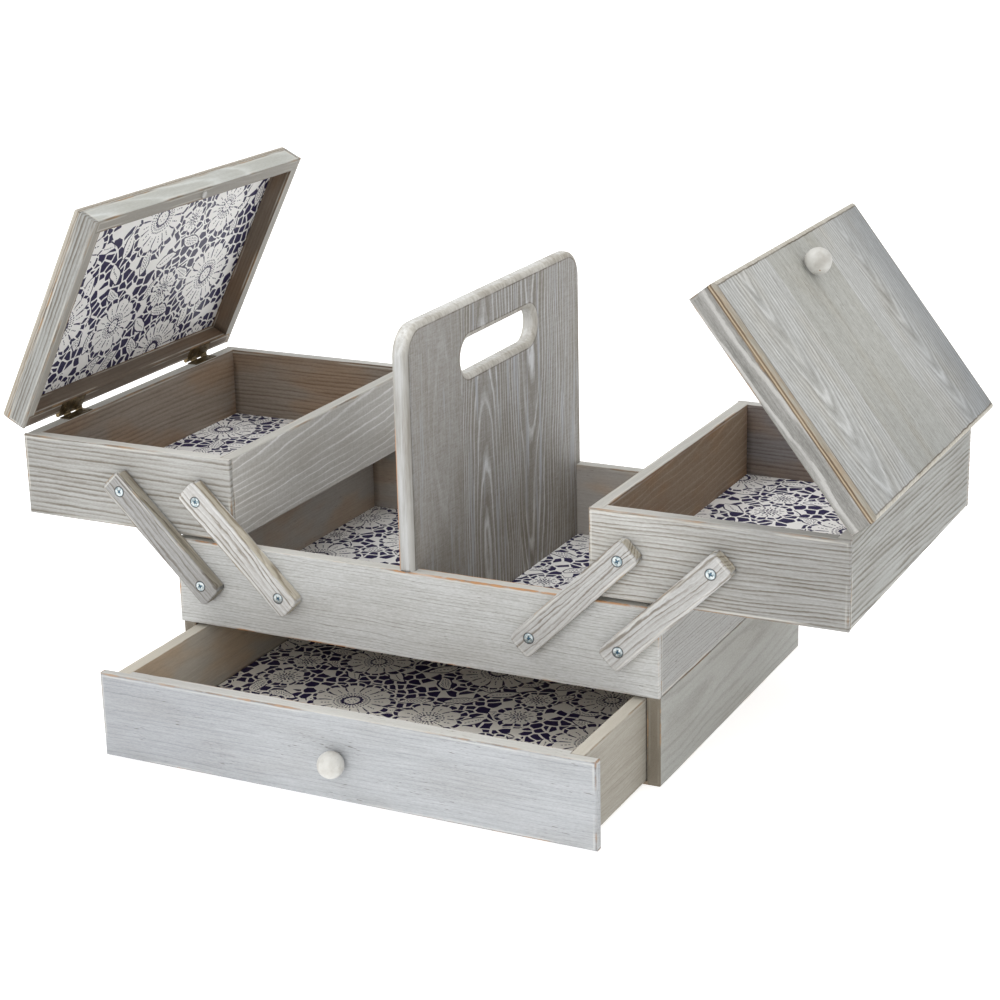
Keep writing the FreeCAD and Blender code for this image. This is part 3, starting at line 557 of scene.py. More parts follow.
MAT["dside"] = wood("wood_drawer_side", gain((G(164, 156, 142), G(210, 204, 192)), 0.70, 0.71, 0.71), (G(190, 184, 170), G(208, 202, 190)),
                    gain((G(132, 122, 110), G(162, 153, 142)), 1.75, 1.85, 1.9), WORN, warp=7.0, line=(0.25, 0.6), ground=0.65, wave=0.7,
                    relief=0.08, fine=0.75, fibre=0.75, pores=0.15, blotch=0.2, wear=0.6, pale_line=0.2)
# the handle's fade is painted shade: darker towards the bottom, where the boxes either side shade it
MAT["handle"] = wood("wood_handle", gain((G(148, 143, 135), G(226, 228, 230)), 0.95), (G(148, 139, 124), G(224, 224, 221)),
                     (G(158, 154, 146), G(222, 224, 226)), (G(196, 140, 98), G(98, 84, 68), G(220, 216, 206)),
                     warp=6.0, ring_var=1.8, line=(0.12, 0.34), bright=True, ground=0.22, wave=0.3, relief=0.09, fine=0.45, fibre=0.45,
                     hatch=0.32, pores=0.2, blotch=0.6, tint=(0.72, 0.68, 0.60), streak=0.8, handle=True, dip=0.35,
                     fade=(10.0, -110.0, (0.80, 0.77, 0.73)))
for k_, g_ in (("", 0.82), ("_dark", 0.60), ("_pale", 1.02)):
    MAT["arm" + k_] = wood("wood_arm" + k_, gain((G(146, 138, 126), G(224, 223, 218)), g_ * 0.98, g_, g_ * 1.05), (G(160, 150, 134), G(198, 192, 180)),
                           (G(150, 142, 130), G(222, 221, 216)), (G(172, 152, 124), G(128, 116, 98), G(222, 220, 212)),
                           wear=0.55, pivots=ARM_L / 2, warp=6.0, ring_var=2.4, line=(0.25, 0.65), ground=0.72, wave=0.4, relief=0.26, fine=0.55, fibre=0.5, pores=0.25,
                           blotch=0.15, jit=1.1)
MAT["ply"] = wood("wood_ply", (G(128, 112, 94), G(156, 140, 122)), (G(128, 112, 94), G(156, 140, 122)),
                  (G(128, 112, 94), G(156, 140, 122)), WORN, warp=6.0, line=(0.3, 0.7), ground=0.6, wave=0.4, relief=0.03, fine=0.4,
                  fibre=0.4, pores=0.15, blotch=0.3, wear=0.3, pale_line=0.0)


# ---------------------------------------------------------------------------
# boards: the CAD solid's own shape, cut finer, worn along its edges, with board coordinates
# ---------------------------------------------------------------------------
def replace_with(ob, node, slot):
    bpy.context.scene.collection.objects.link(ob)
    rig.ride(ob, N[node]["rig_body"])
    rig.replaces(ob, node)
    if slot:
        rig.slot(ob, slot)


SLOT_OF = {s["node"]: s["material_slot"] for s in frame["record"]["subparts"]}


def clean_copy(node, pick=None):
    bm = bmesh.new()
    bm.from_mesh(N[node].data)
    if pick is not None:
        bmesh.ops.delete(bm, geom=[v for v in bm.verts if not pick(v.co / MM)], context="VERTS")
    bmesh.ops.remove_doubles(bm, verts=bm.verts, dist=2e-6)
    bmesh.ops.dissolve_limit(bm, angle_limit=math.radians(0.6), verts=bm.verts, edges=bm.edges, delimit={"NORMAL"})
    return bm


def board(node, mat, g, w, t, seed, pith=(0.0, -80.0), ring=3.0, slope=0.0, contrast=1.0, strips=None, rim=None,
          step=(8.0, 12.0), dent=0.30, zones=True, smooth=32, pick=None, name=None):
    """g, w, t are unit vectors: along the grain, across the board, and out of its show face."""
    g, w, t = Vector(g).normalized(), Vector(w).normalized(), Vector(t).normalized()
    bm = clean_copy(node, pick)
    vs = [v.co / MM for v in bm.verts]
    lo = [min(v.dot(a) for v in vs) for a in (g, w, t)]
    hi = [max(v.dot(a) for v in vs) for a in (g, w, t)]
    cen = [(a + b) / 2 for a, b in zip(lo, hi)]
    half = [(b - a) / 2 for a, b in zip(lo, hi)]
    c = (g * cen[0] + w * cen[1] + t * cen[2])
    borders = [] if not strips else [s[0] for s in strips[1:]]
    for axis, k, st in ((g, 0, step[0]), (w, 1, step[1])):
        n = max(1, int(round((hi[k] - lo[k]) / st)))
        cuts = [lo[k] + (hi[k] - lo[k]) * i / n for i in range(1, n)]
        if k == 1:
            cuts = [u for u in cuts if all(abs(u - cen[1] - b) > 1.0 for b in borders)] + [cen[1] + b for b in borders]
        for u in cuts:
            bmesh.ops.bisect_plane(bm, geom=bm.verts[:] + bm.edges[:] + bm.faces[:], dist=1e-7,
                                   plane_co=axis * (u * MM), plane_no=axis)
    # wear: only ever inwards
    bm.normal_update()
    sd = Vector((seed * 13.7, seed * 7.1, seed * 3.3))
    for v in bm.verts:
        p = v.co / MM
        a = [half[i] - abs((p - c).dot(ax)) for i, ax in enumerate((g, w, t))]
        e = sorted(a)[1]
        if e > 1.9:
            continue
        k = 1.0 - e / 1.9
        u = noise.noise((p + sd) / 16.0) * 0.6 + noise.noise((p + sd) / 5.0) * 0.4
        d = max(0.0, u) * dent * k
        u3 = noise.noise((p - sd) / 9.0)
        if u3 > 0.42:
            d += (u3 - 0.42) * 2.2 * dent * k
        v.co -= v.normal * (d * MM)
    bm.normal_update()
    me = bpy.data.meshes.new(node + "_board")
    bm.to_mesh(me)
    bm.free()
    buf = []
    for v in me.vertices:
        p = v.co / MM - c
        buf += [p.dot(g), p.dot(w), p.dot(t)]
    me.attributes.new("bp", "FLOAT_VECTOR", "POINT").data.foreach_set("vector", buf)
    bh, so, wq, wr = [], [], [], []
    rnd = random.Random(seed)
    base = [rnd.uniform(-400, 400) for _ in range(3)]
    R = Vector(rim) if rim is not None else None
    for p in me.polygons:
        pc = Vector(p.center) / MM - c
        s, off, pi, rg, sl, ct = 0, 0.0, pith, ring, slope, contrast
        if strips:
            for i, st in enumerate(strips):
                if pc.dot(w) >= st[0] - 1e-4 or i == 0:
                    s, pi, rg, sl, ct = i, st[1], st[2], st[3], st[4]
        nrm = p.normal
        z = 0.0
        if zones:
            if nrm.dot(t) < -0.7:
                z = 2.0
            if R is not None and nrm.dot(R) > 0.6:
                z = 1.0
        bh += half
        so += [base[0] + 211.0 * s, base[1] + 97.0 * s, base[2] + 53.0 * s]
        wq += [pi[0], pi[1], rg]
        wr += [sl, ct, z]
    for k, b in zip(("bh", "so", "wq", "wr"), (bh, so, wq, wr)):
        me.attributes.new(k, "FLOAT_VECTOR", "FACE").data.foreach_set("vector", b)
    me.shade_smooth() if hasattr(me, "shade_smooth") else [setattr(p, "use_smooth", True) for p in me.polygons]
    me.set_sharp_from_angle(angle=math.radians(smooth))
    ob = bpy.data.objects.new((name or node) + "_worn", me)
    me.materials.append(mat)
    replace_with(ob, node, SLOT_OF[node])
    wn = ob.modifiers.new("even_shading", "WEIGHTED_NORMAL")
    wn.keep_sharp = True
    return ob


X, Y, Z = Vector((1, 0, 0)), Vector((0, 1, 0)), Vector((0, 0, 1))

# ---- carcass and tray
for s, sx in (("left", -1), ("right", 1)):
    board(f"carcass_{s}_side", MAT["carcass"], Y, Z, X * sx, 11 + sx, pith=(10, -60), ring=2.6, slope=0.02, contrast=0.28, rim=-Y)
    board(f"tray_{s}_end", MAT["tray"], Y, Z, X * sx, 21 + sx, pith=(-120, -20), ring=2.4, slope=0.05, contrast=0.55, rim=Z)
board("carcass_back", MAT["carcass"], X, Z, Y, 31, pith=(20, -70), ring=3.0, slope=0.03, contrast=0.5)
board("carcass_bottom", MAT["ply"], X, Y, -Z, 32, pith=(0, -50), ring=5.0, slope=0.05, contrast=0.5, step=(12, 24), zones=False)
board("tray_front", MAT["tray_front"], X, Z, -Y, 33, pith=(-160, -30), ring=2.2, slope=0.04, contrast=0.45, rim=Z)
board("tray_back", MAT["tray"], X, Z, Y, 34, pith=(90, -30), ring=2.6, slope=0.04, contrast=0.5, rim=Z)
board("tray_floor", MAT["ply"], X, Y, -Z, 35, pith=(0, -60), ring=5.0, slope=0.05, contrast=0.5, step=(14, 24), zones=False)

# ---- handle board: strips glued side by side, grain upright
hz_mid = (H_TOP + HC + 6.0) / 2
board("handle_board", MAT["handle"], Z, Y, X, 41, zones=False, dent=0.0, step=(10, 10), smooth=40,
      strips=[(-200, (-90, -40), 2.3, 0.01, 0.12), (-62, (-26, -20), 3.4, 0.05, 0.75), (30, (52, -22), 3.4, -0.045, 0.75), (110, (150, -40), 3.0, 0.02, 0.4)])

# ---- drawer
board("drawer_front", MAT["front"], X, Z, -Y, 51, pith=(140, -40), ring=2.6, slope=0.04, contrast=0.30, rim=Z, dent=0.35)
board("drawer_back", MAT["dside"], X, Z, Y, 52, pith=(50, -30), ring=4.0, slope=0.03, contrast=0.5, rim=Z)
for s, sx in (("left", -1), ("right", 1)):
    board(f"drawer_{s}_side", MAT["dside"], Y, Z, X * sx, 54 + sx, pith=(-80, -36), ring=2.6, slope=0.04, contrast=0.4, rim=Z)
board("drawer_bottom", MAT["ply"], X, Y, Z, 57, pith=(0, -60), ring=5.0, slope=0.05, contrast=0.5, step=(14, 24), zones=False)

# ---- upper boxes and lids
for s, sx in (("left", -1), ("right", 1)):
    sd = 60 if s == "left" else 80
    rt = "" if s == "left" else "_right"
    xi, xo = BOX_X[s]
    board(f"{s}_box_front", MAT["box" + rt], X, Z, -Y, sd + 1, pith=(-95, -12) if s == "left" else (110, -16), ring=3.7 if s == "left" else 2.7, slope=0.03, contrast=0.75, rim=Z, dent=0.35)
    board(f"{s}_box_back", MAT["box_rear" if rt else "box"], X, Z, Y, sd + 2, pith=(-100, -20), ring=3.1, slope=0.03, contrast=1.0, rim=Z)
    board(f"{s}_box_outer_wall", MAT["box_outer" if rt else "box"], Y, Z, X * sx, sd + 3, pith=(-60, -20), ring=3.6, slope=0.06, contrast=0.8, rim=Z)
    board(f"{s}_box_inner_wall", MAT["inwall" + rt], Y, Z, X * -sx, sd + 4, pith=(44, -22), ring=5.0, slope=0.10, contrast=0.55, rim=Z)
    board(f"{s}_box_floor", MAT["ply"], X, Y, -Z, sd + 5, pith=(0, -60), ring=5.0, slope=0.05, contrast=0.5, step=(14, 24), zones=False)
    R = Matrix.Rotation(math.radians(OPEN[s]) * sx, 3, "Y")
    gx, uz = R @ X, R @ Z
    strips = [(-200, (-98, -18), 3.4, 0.13, 0.40), (-50, (-200, -60), 2.0, 0.02, 0.2), (42, (88, -14), 3.0, 0.12, 0.34)] if s == "right" else \
             [(-200, (-110, -20), 2.8, -0.12, 0.60), (-62, (-10, -18), 2.8, 0.13, 0.60), (40, (220, -40), 2.4, 0.03, 0.22)]
    board(f"{s}_lid_panel", MAT["lidtop_" + s], gx, Y, uz, sd + 6, strips=strips, zones=False, dent=0.45, step=(7, 8))
    board(f"{s}_lid_end_rails", MAT["lidend_" + s], gx, uz, -Y, sd + 7, pith=(46, -8) if s == "left" else (20, -14), ring=2.4 if s == "left" else 7.5,
          slope=0.02, contrast=1.0, rim=-uz,
          pick=lambda c: c.y < 0, name=f"{s}_lid_front_rail")
    board(f"{s}_lid_end_rails", MAT["lidend_left"], gx, uz, Y, sd + 8, pith=(40, -8), ring=3.1, slope=0.02, contrast=1.0, rim=-uz,
          pick=lambda c: c.y > 0, name=f"{s}_lid_back_rail")
    # the two long rails are told apart by their distance from the hinge
    hx = sx * (xo + HINGE_OUT)
    inw = gx * -sx
    far = lambda c, inw=inw, hx=hx: (c - Vector((hx, 0, ZB1 + HINGE_UP))).dot(inw) > 90
    near_ = lambda c, inw=inw, hx=hx: (c - Vector((hx, 0, ZB1 + HINGE_UP))).dot(inw) < 90
    board(f"{s}_lid_long_rails", MAT["lid"], Y, uz, inw, sd + 9, pith=(-4, -14), ring=6.5, slope=0.09, contrast=0.45, rim=-uz,
          pick=far, name=f"{s}_lid_free_rail")
    board(f"{s}_lid_long_rails", MAT["lidhinge"], Y, uz, -inw, sd + 10, pith=(30, -20), ring=3.5, slope=0.05, contrast=0.7, rim=-uz,
          pick=near_, name=f"{s}_lid_hinge_rail")

# ---- arms

k = 0
for s, sx in (("left", -1), ("right", 1)):
    for f, fy in (("front", -1), ("rear", 1)):
        for i, p_ in (("inner", PX[0]), ("outer", PX[1])):
            k += 1
            g_ = Vector((sx * AX, 0, AZ)) / ARM_L
            t_ = Y * fy
            w_ = t_.cross(g_)
            board(f"{s}_{f}_{i}_arm", MAT[{"left_outer": "arm_dark", "left_inner": "arm_pale"}.get(f"{s}_{i}", "arm")], g_, w_, t_, 100 + k, pith=(random.Random(k).uniform(-40, -16) * (1 if k % 2 else -1), -10),
                  ring=random.Random(k + 9).uniform(2.6, 3.3), slope=random.Random(k + 5).uniform(-0.08, 0.08), contrast=1.0, zones=False, step=(6, 6), dent=0.35)


# ---------------------------------------------------------------------------
# lace-pattern lining paper: a repeating print of flowers, leaves and a cut-out net
# ---------------------------------------------------------------------------
TILE = 166.0


#          x     y    radius petals turn dots windows roundness heart
FLOWERS = [(38, 40, 25.0, 12, 0.2, 34, 27, 0.16, 1.2), (123, 26, 20.5, 9, 0.5, 26, 23, 0.20, 1.1),
           (86, 92, 23.0, 14, 0.1, 30, 26, 0.13, 1.4), (30, 122, 20.0, 8, 0.9, 24, 22, 0.24, 1.0),
           (139, 128, 24.0, 11, 0.3, 32, 28, 0.17, 1.3), (80, 146, 11.5, 7, 0.0, 14, 14, 0.26, 0.8),
           (140, 75, 12.5, 8, 0.4, 16, 15, 0.22, 0.9), (80, 8, 9.5, 6, 0.7, 12, 12, 0.28, 0.7),
           (28, 82, 9.5, 6, 0.2, 12, 12, 0.28, 0.7)]


def steps(t, fac, rows):
    """Table look-up: row i of four numbers for fac between i / n and (i + 1) / n."""
    n = t.nodes.new("ShaderNodeValToRGB")
    cr = n.color_ramp
    cr.interpolation = "CONSTANT"
    while len(cr.elements) < len(rows):
        cr.elements.new(1.0)
    for i, row in enumerate(rows):
        cr.elements[i].position = i / len(rows)
        cr.elements[i].color = row
    put(t, n.inputs["Fac"], fac)
    r, g, b = xyz(S(t, n.outputs["Color"]))
    return r, g, b, S(t, n.outputs["Alpha"])


def lace(name, shift=(0.0, 0.0), scale=0.86, pale=G(240, 238, 232), dark=G(38, 33, 68), rough=0.5, coat=0.0):
    m, t = new_tree(name)
    bp = attr(t, "bp")
    p0 = vm(vm(bp, "ADD", (shift[0], shift[1], 0.0)), "MULTIPLY", (scale, scale, 0.0))
    wob = t.nodes.new("ShaderNodeTexNoise")
    wob.inputs["Scale"].default_value = 0.11
    wob.inputs["Detail"].default_value = 1.0
    put(t, wob.inputs["Vector"], p0)
    dv = vm(vm(S(t, wob.outputs["Color"]), "SUBTRACT", (0.5, 0.5, 0.5)), "MULTIPLY", (3.2, 3.2, 0.0))
    p = vm(p0, "ADD", dv)
    # net
    px, py, _ = xyz(p)
    v = vor(p, 1 / 7.6, "DISTANCE_TO_EDGE", 0.95, "2D")
    vc = vor(p, 1 / 7.6, "F1", 0.95, "2D")
    cr, cg, cb = xyz(vc["Color"])
    net = v["Distance"].lt(0.105).max(cr.gt(0.80))
    # leaves: one turned leaf in each large cell
    lv = vor(p, 1 / 27.0, "F1", 0.6, "2D")
    lx, ly, _ = xyz(vm(p, "SUBTRACT", vm(lv["Position"], "MULTIPLY", (1.0, 1.0, 0.0))))
    ca, cb2, cc = xyz(lv["Color"])
    an = ca * 6.2832
    ul = lx * an.cos() + ly * an.sin()
    vl = ly * an.cos() - lx * an.sin()
    vl = vl + (ul * 0.25).sin() * 0.9
    prof = (1.0 - (ul / 10.5) * (ul / 10.5)).max(0.0)
    wid = prof * 4.2
    leaf = vl.abs().lt(wid)
    rib = vl.abs().lt(0.36) * ul.abs().lt(7.0) * (ul * 0.45).fract().lt(0.6)
    side = ((ul.abs() * 0.42 - vl.abs() * 0.5).fract().lt(0.30)) * vl.abs().gt(1.1) * vl.abs().lt(wid - 1.0) * ca.gt(0.45)
    c = mixf(leaf, net, 1.0 - rib.max(side))
    c = mixf(vl.abs().gt(wid) * vl.abs().lt(wid + 1.0) * prof.gt(0.001), c, 0.0)
    # nearest flower of the repeat
    near, best = None, None
    for i, f in enumerate(FLOWERS):
        ux = (px - f[0]).wrap(TILE / 2, -TILE / 2)
        uy = (py - f[1]).wrap(TILE / 2, -TILE / 2)
        d = (ux * ux + uy * uy).sqrt() - f[2]
        here = vec(t, ux, uy, (i + 0.5) / len(FLOWERS))
        if near is None:
            near, best = d, here
        else:
            closer = d.lt(near)
            best = mixc(closer, best, here)
            near = near.min(d)
    dx, dy, idx = xyz(best)
    Rr, n_, dots, ww = steps(t, idx, [(f[2] / 40, f[3] / 40, f[5] / 40, f[6] / 40) for f in FLOWERS])
    turn, rnd, heart, _ = steps(t, idx, [(f[4] / 2, f[7], f[8] / 2, 1.0) for f in FLOWERS])
    R, n, dots, ww = Rr * 40.0, (n_ * 40.0 + 0.25).floor(), (dots * 40.0 + 0.25).floor(), (ww * 40.0 + 0.25).floor()
    turn, heart = turn * 2.0, heart * 2.0
    r = (dx * dx + dy * dy).sqrt()
    th = dy.atan2(dx) + turn
    tu = th * (1 / (2 * math.pi))
    rc = r * (2 * math.pi)
    sd = r - R * ((1.0 - rnd) + rnd * (th * n * 0.5).cos().abs().pow(0.55))
    k = r / R
    f = ((tu * n).fract() - 0.5).abs()
    arc = rc / n
    cut = (f * arc).lt(k.lin(0.50, 1.0, 0.22, 0.95)) * k.gt(0.56)
    cut = cut.max(((0.5 - f) * arc).lt(0.42) * k.gt(0.60) * k.lt(0.84) * (r * 0.42).fract().lt(0.62))

    def ring(rad, count, size):
        da = ((tu * count).fract() - 0.5) * rc / count
        dr = r - rad
        return (da * da + dr * dr).lt(size * size)

    cut = cut.max(ring(R * 0.47, dots, 0.62))
    cut = cut.max(ring(R * 0.26, (dots * 0.5).floor(), heart))
    cut = cut.max(ring(R * 0.11, n.min(6.0), 0.5))
    ray = (((tu * dots).fract() - 0.5).abs() * rc / dots).lt(0.34) * (r - R * 0.37).abs().lt(0.9)
    flower = 1.0 - cut.max(ray)
    wv = (th * 5.0 + turn * 7.0).sin() * 0.10
    bar = (0.5 - (((tu * ww) + wv).fract() - 0.5).abs()) * rc / ww
    swing = (th * 3.0 + turn * 3.0).sin() * 0.9
    win = sd.gt(0.85) * sd.lt(swing + 4.1) * bar.gt(0.62)
    motif = mixf(sd.lt(0.0), 1.0 - win, flower)
    c = mixf(sd.lt(swing + 5.3), c, motif)
    tone = nz(p0, detail=1.0, stretch=(45, 45, 45))
    grain = nz(p0, detail=2.0, rough=0.7, stretch=(1.2, 1.2, 1.2))
    paleC = mixc((tone * 0.6 + grain * 0.2).clamp(), vmulc(pale, 0.90), pale)
    darkC = mixc(grain.step(0.35, 0.75), dark, vmulc(dark, 1.7))
    col = mixc(c, darkC, paleC)
    surface(t, col, rough, grain * 0.03, spec=0.25, coat=coat, coat_rough=0.12)
    return m


def vmulc(c, k):
    return tuple(v * k for v in c)


def liner(node, mat, u, v, name=None, pick=None, shift=(0, 0)):
    """Sheet of printed paper, cut a hair unevenly, with print coordinates in mm."""
    u, v = Vector(u), Vector(v)
    bm = clean_copy(node, pick)
    vs = [x.co / MM for x in bm.verts]
    lo = [min(p.dot(a) for p in vs) for a in (u, v)]
    hi = [max(p.dot(a) for p in vs) for a in (u, v)]
    for axis, k in ((u, 0), (v, 1)):
        n = max(2, int((hi[k] - lo[k]) / 9.0))
        for i in range(1, n):
            bmesh.ops.bisect_plane(bm, geom=bm.verts[:] + bm.edges[:] + bm.faces[:], dist=1e-7,
                                   plane_co=axis * ((lo[k] + (hi[k] - lo[k]) * i / n) * MM), plane_no=axis)
    cu, cv = (lo[0] + hi[0]) / 2, (lo[1] + hi[1]) / 2
    hu, hv = (hi[0] - lo[0]) / 2, (hi[1] - lo[1]) / 2
    for x in bm.verts:
        p = x.co / MM
        a, b = p.dot(u) - cu, p.dot(v) - cv
        if hu - abs(a) < 0.5:
            x.co -= u * math.copysign((0.18 + 0.18 * noise.noise(Vector((b / 14, hu, cu)))) * MM, a)
        if hv - abs(b) < 0.5:
            x.co -= v * math.copysign((0.18 + 0.18 * noise.noise(Vector((a / 14, hv, cu)))) * MM, b)
    me = bpy.data.meshes.new((name or node) + "_sheet")
    bm.to_mesh(me)
    bm.free()
    at = me.attributes.new("bp", "FLOAT_VECTOR", "POINT")
    buf = []
    for x in me.vertices:
        p = x.co / MM
        buf += [p.dot(u) + shift[0], p.dot(v) + shift[1], 0.0]
    at.data.foreach_set("vector", buf)
    me.materials.append(mat)
    ob = bpy.data.objects.new((name or node) + "_print", me)
    replace_with(ob, node, "lining_paper")
    return ob


MAT["paper"] = lace("lace_paper", rough=0.55, pale=G(252, 251, 249), dark=G(34, 28, 66))
MAT["paper_drawer"] = lace("lace_paper_drawer", rough=0.55, pale=G(253, 249, 240), dark=G(36, 28, 64))
MAT["paper_lid"] = lace("lace_paper_lid", shift=(17.0, 61.0), rough=0.38, coat=0.10, pale=G(252, 251, 249), dark=G(26, 21, 62))
liner("tray_liners", MAT["paper"], X, Y, "tray_liner_left", pick=lambda c: c.x < 0, shift=(12, 40))
liner("tray_liners", MAT["paper"], X, Y, "tray_liner_right", pick=lambda c: c.x > 0, shift=(64, -12))
liner("drawer_liner", MAT["paper_drawer"], X, Y, shift=(31, 73))
for s, sx in (("left", -1), ("right", 1)):
    liner(f"{s}_box_liner", MAT["paper"], X, Y, shift=(8, 22) if s == "left" else (90, 118))
    R = Matrix.Rotation(math.radians(OPEN[s]) * sx, 3, "Y")
    liner(f"{s}_lid_liner", MAT["paper_lid"], R @ X, Y, shift=(40, 5) if s == "left" else (101, 77))


# ---------------------------------------------------------------------------
# turned knobs
# ---------------------------------------------------------------------------
def frame_of(o, axis, ref=None):
    """Matrix that puts +Z along axis at o (mm)."""
    z = Vector(axis).normalized()
    x = Vector(ref) if ref is not None else (X if abs(z.x) < 0.9 else Y)
    x = (x - z * x.dot(z)).normalized()
    y = z.cross(x)
    m = Matrix.Identity(4)
    for i in range(3):
        m[i][0], m[i][1], m[i][2] = x[i] * MM, y[i] * MM, z[i] * MM
    m.translation = Vector(o) * MM
    return m


def lathe(bm, prof, seg, mat4, close_top=False):
    rings = []
    for r, z in prof:
        if r < 1e-6:
            rings.append([bm.verts.new(mat4 @ Vector((0, 0, z)))])
        else:
            rings.append([bm.verts.new(mat4 @ Vector((r * math.cos(2 * math.pi * i / seg), r * math.sin(2 * math.pi * i / seg), z))) for i in range(seg)])
    for a, b in zip(rings, rings[1:]):
        for i in range(seg):
            j = (i + 1) % seg
            if len(a) == 1 and len(b) == 1:
                continue
            if len(a) == 1:
                bm.faces.new((a[0], b[j], b[i])) if False else bm.faces.new((a[0], b[i], b[j]))
            elif len(b) == 1:
                bm.faces.new((a[i], b[0], a[j]))
            else:
                bm.faces.new((a[i], b[i], b[j], a[j]))


def paint_mat():
    m, t = new_tree("knob_paint")
    bp = attr(t, "bp")
    n1 = nz(bp, detail=3.0, stretch=(9, 9, 9))
    n2 = nz(vm(bp, "ADD", (9.0, 3.0, 50.0)), detail=2.0, rough=0.6, stretch=(2.2, 2.2, 2.2))
    base = mixc(n1.step(0.35, 0.7), G(198, 197, 192), G(174, 171, 164))
    base = mixc((n2.step(0.60, 0.72) * 0.25).clamp(), base, G(160, 155, 146))
    sp = nz(vm(bp, "ADD", (3.0, 31.0, 2.0)), detail=1.0, stretch=(4.6, 4.6, 4.6)).step(0.755, 0.775)
    base = mixc((sp * 0.9).clamp(), base, G(140, 104, 72))
    x, y, z = xyz(bp)
    # painted shadow: a dark band round the knob's neck, where it meets the board
    ring = (z - 0.9).abs().step(1.1, 0.2)
    base = mixc((ring * 0.75).clamp(), base, G(52, 52, 54))
    surface(t, base, n1 * 0.12 + 0.34, n1 * 0.10 + n2 * 0.05, spec=0.45)
    return m


MAT["knob"] = paint_mat()


def knob(node, o, axis, seed, ref=None):
    KR, KC = 9.35, 8.3
    prof = [(0, 0.03), (2.4, 0.02), (4.6, 0.02), (5.2, 0.10), (5.25, 0.45), (4.85, 0.9), (4.75, 1.2), (5.2, 1.5)]
    a0 = math.atan2(-(math.sqrt(KR * KR - 6.2 * 6.2)), 6.2)
    n = 40
    for i in range(n + 1):
        a = a0 + (math.pi / 2 - a0) * i / n
        r = KR * math.cos(a)
        prof.append((max(r, 0.0) if i < n else 0.0, KC + KR * math.sin(a)))
    bm = bmesh.new()
    M = frame_of(o, axis, ref)
    lathe(bm, prof, 72, M)
    bmesh.ops.recalc_face_normals(bm, faces=bm.faces)
    bm.normal_update()
    inv = M.inverted()
    rn = random.Random(seed)
    dents = [(Vector((rn.gauss(0, 1), rn.gauss(0, 1), rn.uniform(-0.2, 1.0))).normalized(), rn.uniform(1.6, 3.6), rn.uniform(0.15, 0.4)) for _ in range(5)]
    for v in bm.verts:
        p = inv @ v.co
        d = Vector(p) - Vector((0, 0, KC))
        if d.length < KR * 0.9 or p.z < 2.2:
            continue
        dn = d.normalized()
        k = max(0.0, noise.noise(dn * 2.2 + Vector((seed, 0, 0)))) * 0.20
        for c, w_, h_ in dents:
            e = (dn - c).length * KR / w_
            if e < 1:
                k += h_ * (1 - e * e) ** 2
        v.co -= v.normal * (k * MM)
    me = bpy.data.meshes.new(node + "_turned")
    bm.to_mesh(me)
    bm.free()
    at = me.attributes.new("bp", "FLOAT_VECTOR", "POINT")
    buf = []
    for v in me.vertices:
        p = inv @ v.co
        buf += [p.x + seed * 31.0 * 0, p.y + 0.0, p.z]
    at.data.foreach_set("vector", buf)
    me.shade_smooth()
    me.set_sharp_from_angle(angle=math.radians(50))
    me.materials.append(MAT["knob"])
    ob = bpy.data.objects.new(node + "_turned", me)
    replace_with(ob, node, "knob_paint")
    return ob


knob("drawer_knob", (0, DY0, KNOB_Z), (0, -1, 0), 3, ref=X)
for s, sx in (("left", -1), ("right", 1)):
    R = Matrix.Rotation(math.radians(OPEN[s]) * sx, 3, "Y")
    xo = BOX_X[s][1]
    hinge = Vector((sx * (xo + HINGE_OUT), 0, ZB1 + HINGE_UP))
    loc = Vector((sx * (xo - KNOB_U), 0, ZB1 + LID_GAP + RAIL_H + PANEL_T)) - hinge
    knob(f"{s}_lid_knob", hinge + R @ loc, R @ Z, 5 + sx, ref=Y)


# ---------------------------------------------------------------------------
# metal
# ---------------------------------------------------------------------------
def zinc_mat():
    m, t = new_tree("zinc_screw")
    n = t.nodes.new("ShaderNodeTexCoord")
    p = vm(S(t, n.outputs["Object"]), "MULTIPLY", (1000.0, 1000.0, 1000.0))
    a = nz(p, detail=3.0, stretch=(2.0, 2.0, 2.0))
    b = nz(p, detail=2.0, rough=0.6, stretch=(0.35, 0.35, 0.35))
    recess_shade_w = attr(t, "deep", vector=False)
    col = mixc(a.step(0.35, 0.65), G(142, 156, 160), G(212, 218, 218))
    # painted shade: dark teal in the cross recess and on the rim ring of the head, where the gap round it is in shade
    col = mixc((recess_shade_w * 0.9).clamp(), col, G(62, 102, 126))
    surface(t, col, mixf(recess_shade_w, 0.42, 0.5) + (b - 0.5) * 0.12, a * 0.03 + b * 0.01, metallic=1.0)
    return m


def brass_mat():
    m, t = new_tree("antique_brass")
    n = t.nodes.new("ShaderNodeTexCoord")
    p = vm(S(t, n.outputs["Object"]), "MULTIPLY", (1000.0, 1000.0, 1000.0))
    a = nz(p, detail=3.0, stretch=(5.0, 5.0, 5.0))
    b = nz(p, detail=2.0, rough=0.6, stretch=(0.5, 1.6, 0.5))
    col = mixc(a.step(0.35, 0.65), G(128, 112, 82), G(90, 77, 56))
    # painted highlight: pale streaks of bright brass, standing in for glints
    col = mixc((b.step(0.55, 0.75) * 0.5).clamp(), col, G(182, 168, 134))
    surface(t, col, mixf(a, 0.30, 0.48) + (b - 0.5) * 0.1, a * 0.04 + b * 0.02, metallic=0.95)
    return m


def bumper_mat():
    m, t = new_tree("clear_bumper")
    n = t.nodes.new("ShaderNodeTexCoord")
    p = vm(S(t, n.outputs["Object"]), "MULTIPLY", (1000.0, 1000.0, 1000.0))
    a = nz(p, detail=2.0, stretch=(2.0, 2.0, 2.0))
    surface(t, mixc(a, G(158, 157, 153), G(176, 175, 171)), mixf(a, 0.14, 0.24), a * 0.03, spec=0.6)
    return m


MAT["zinc"], MAT["brass"], MAT["bumper"] = zinc_mat(), brass_mat(), bumper_mat()


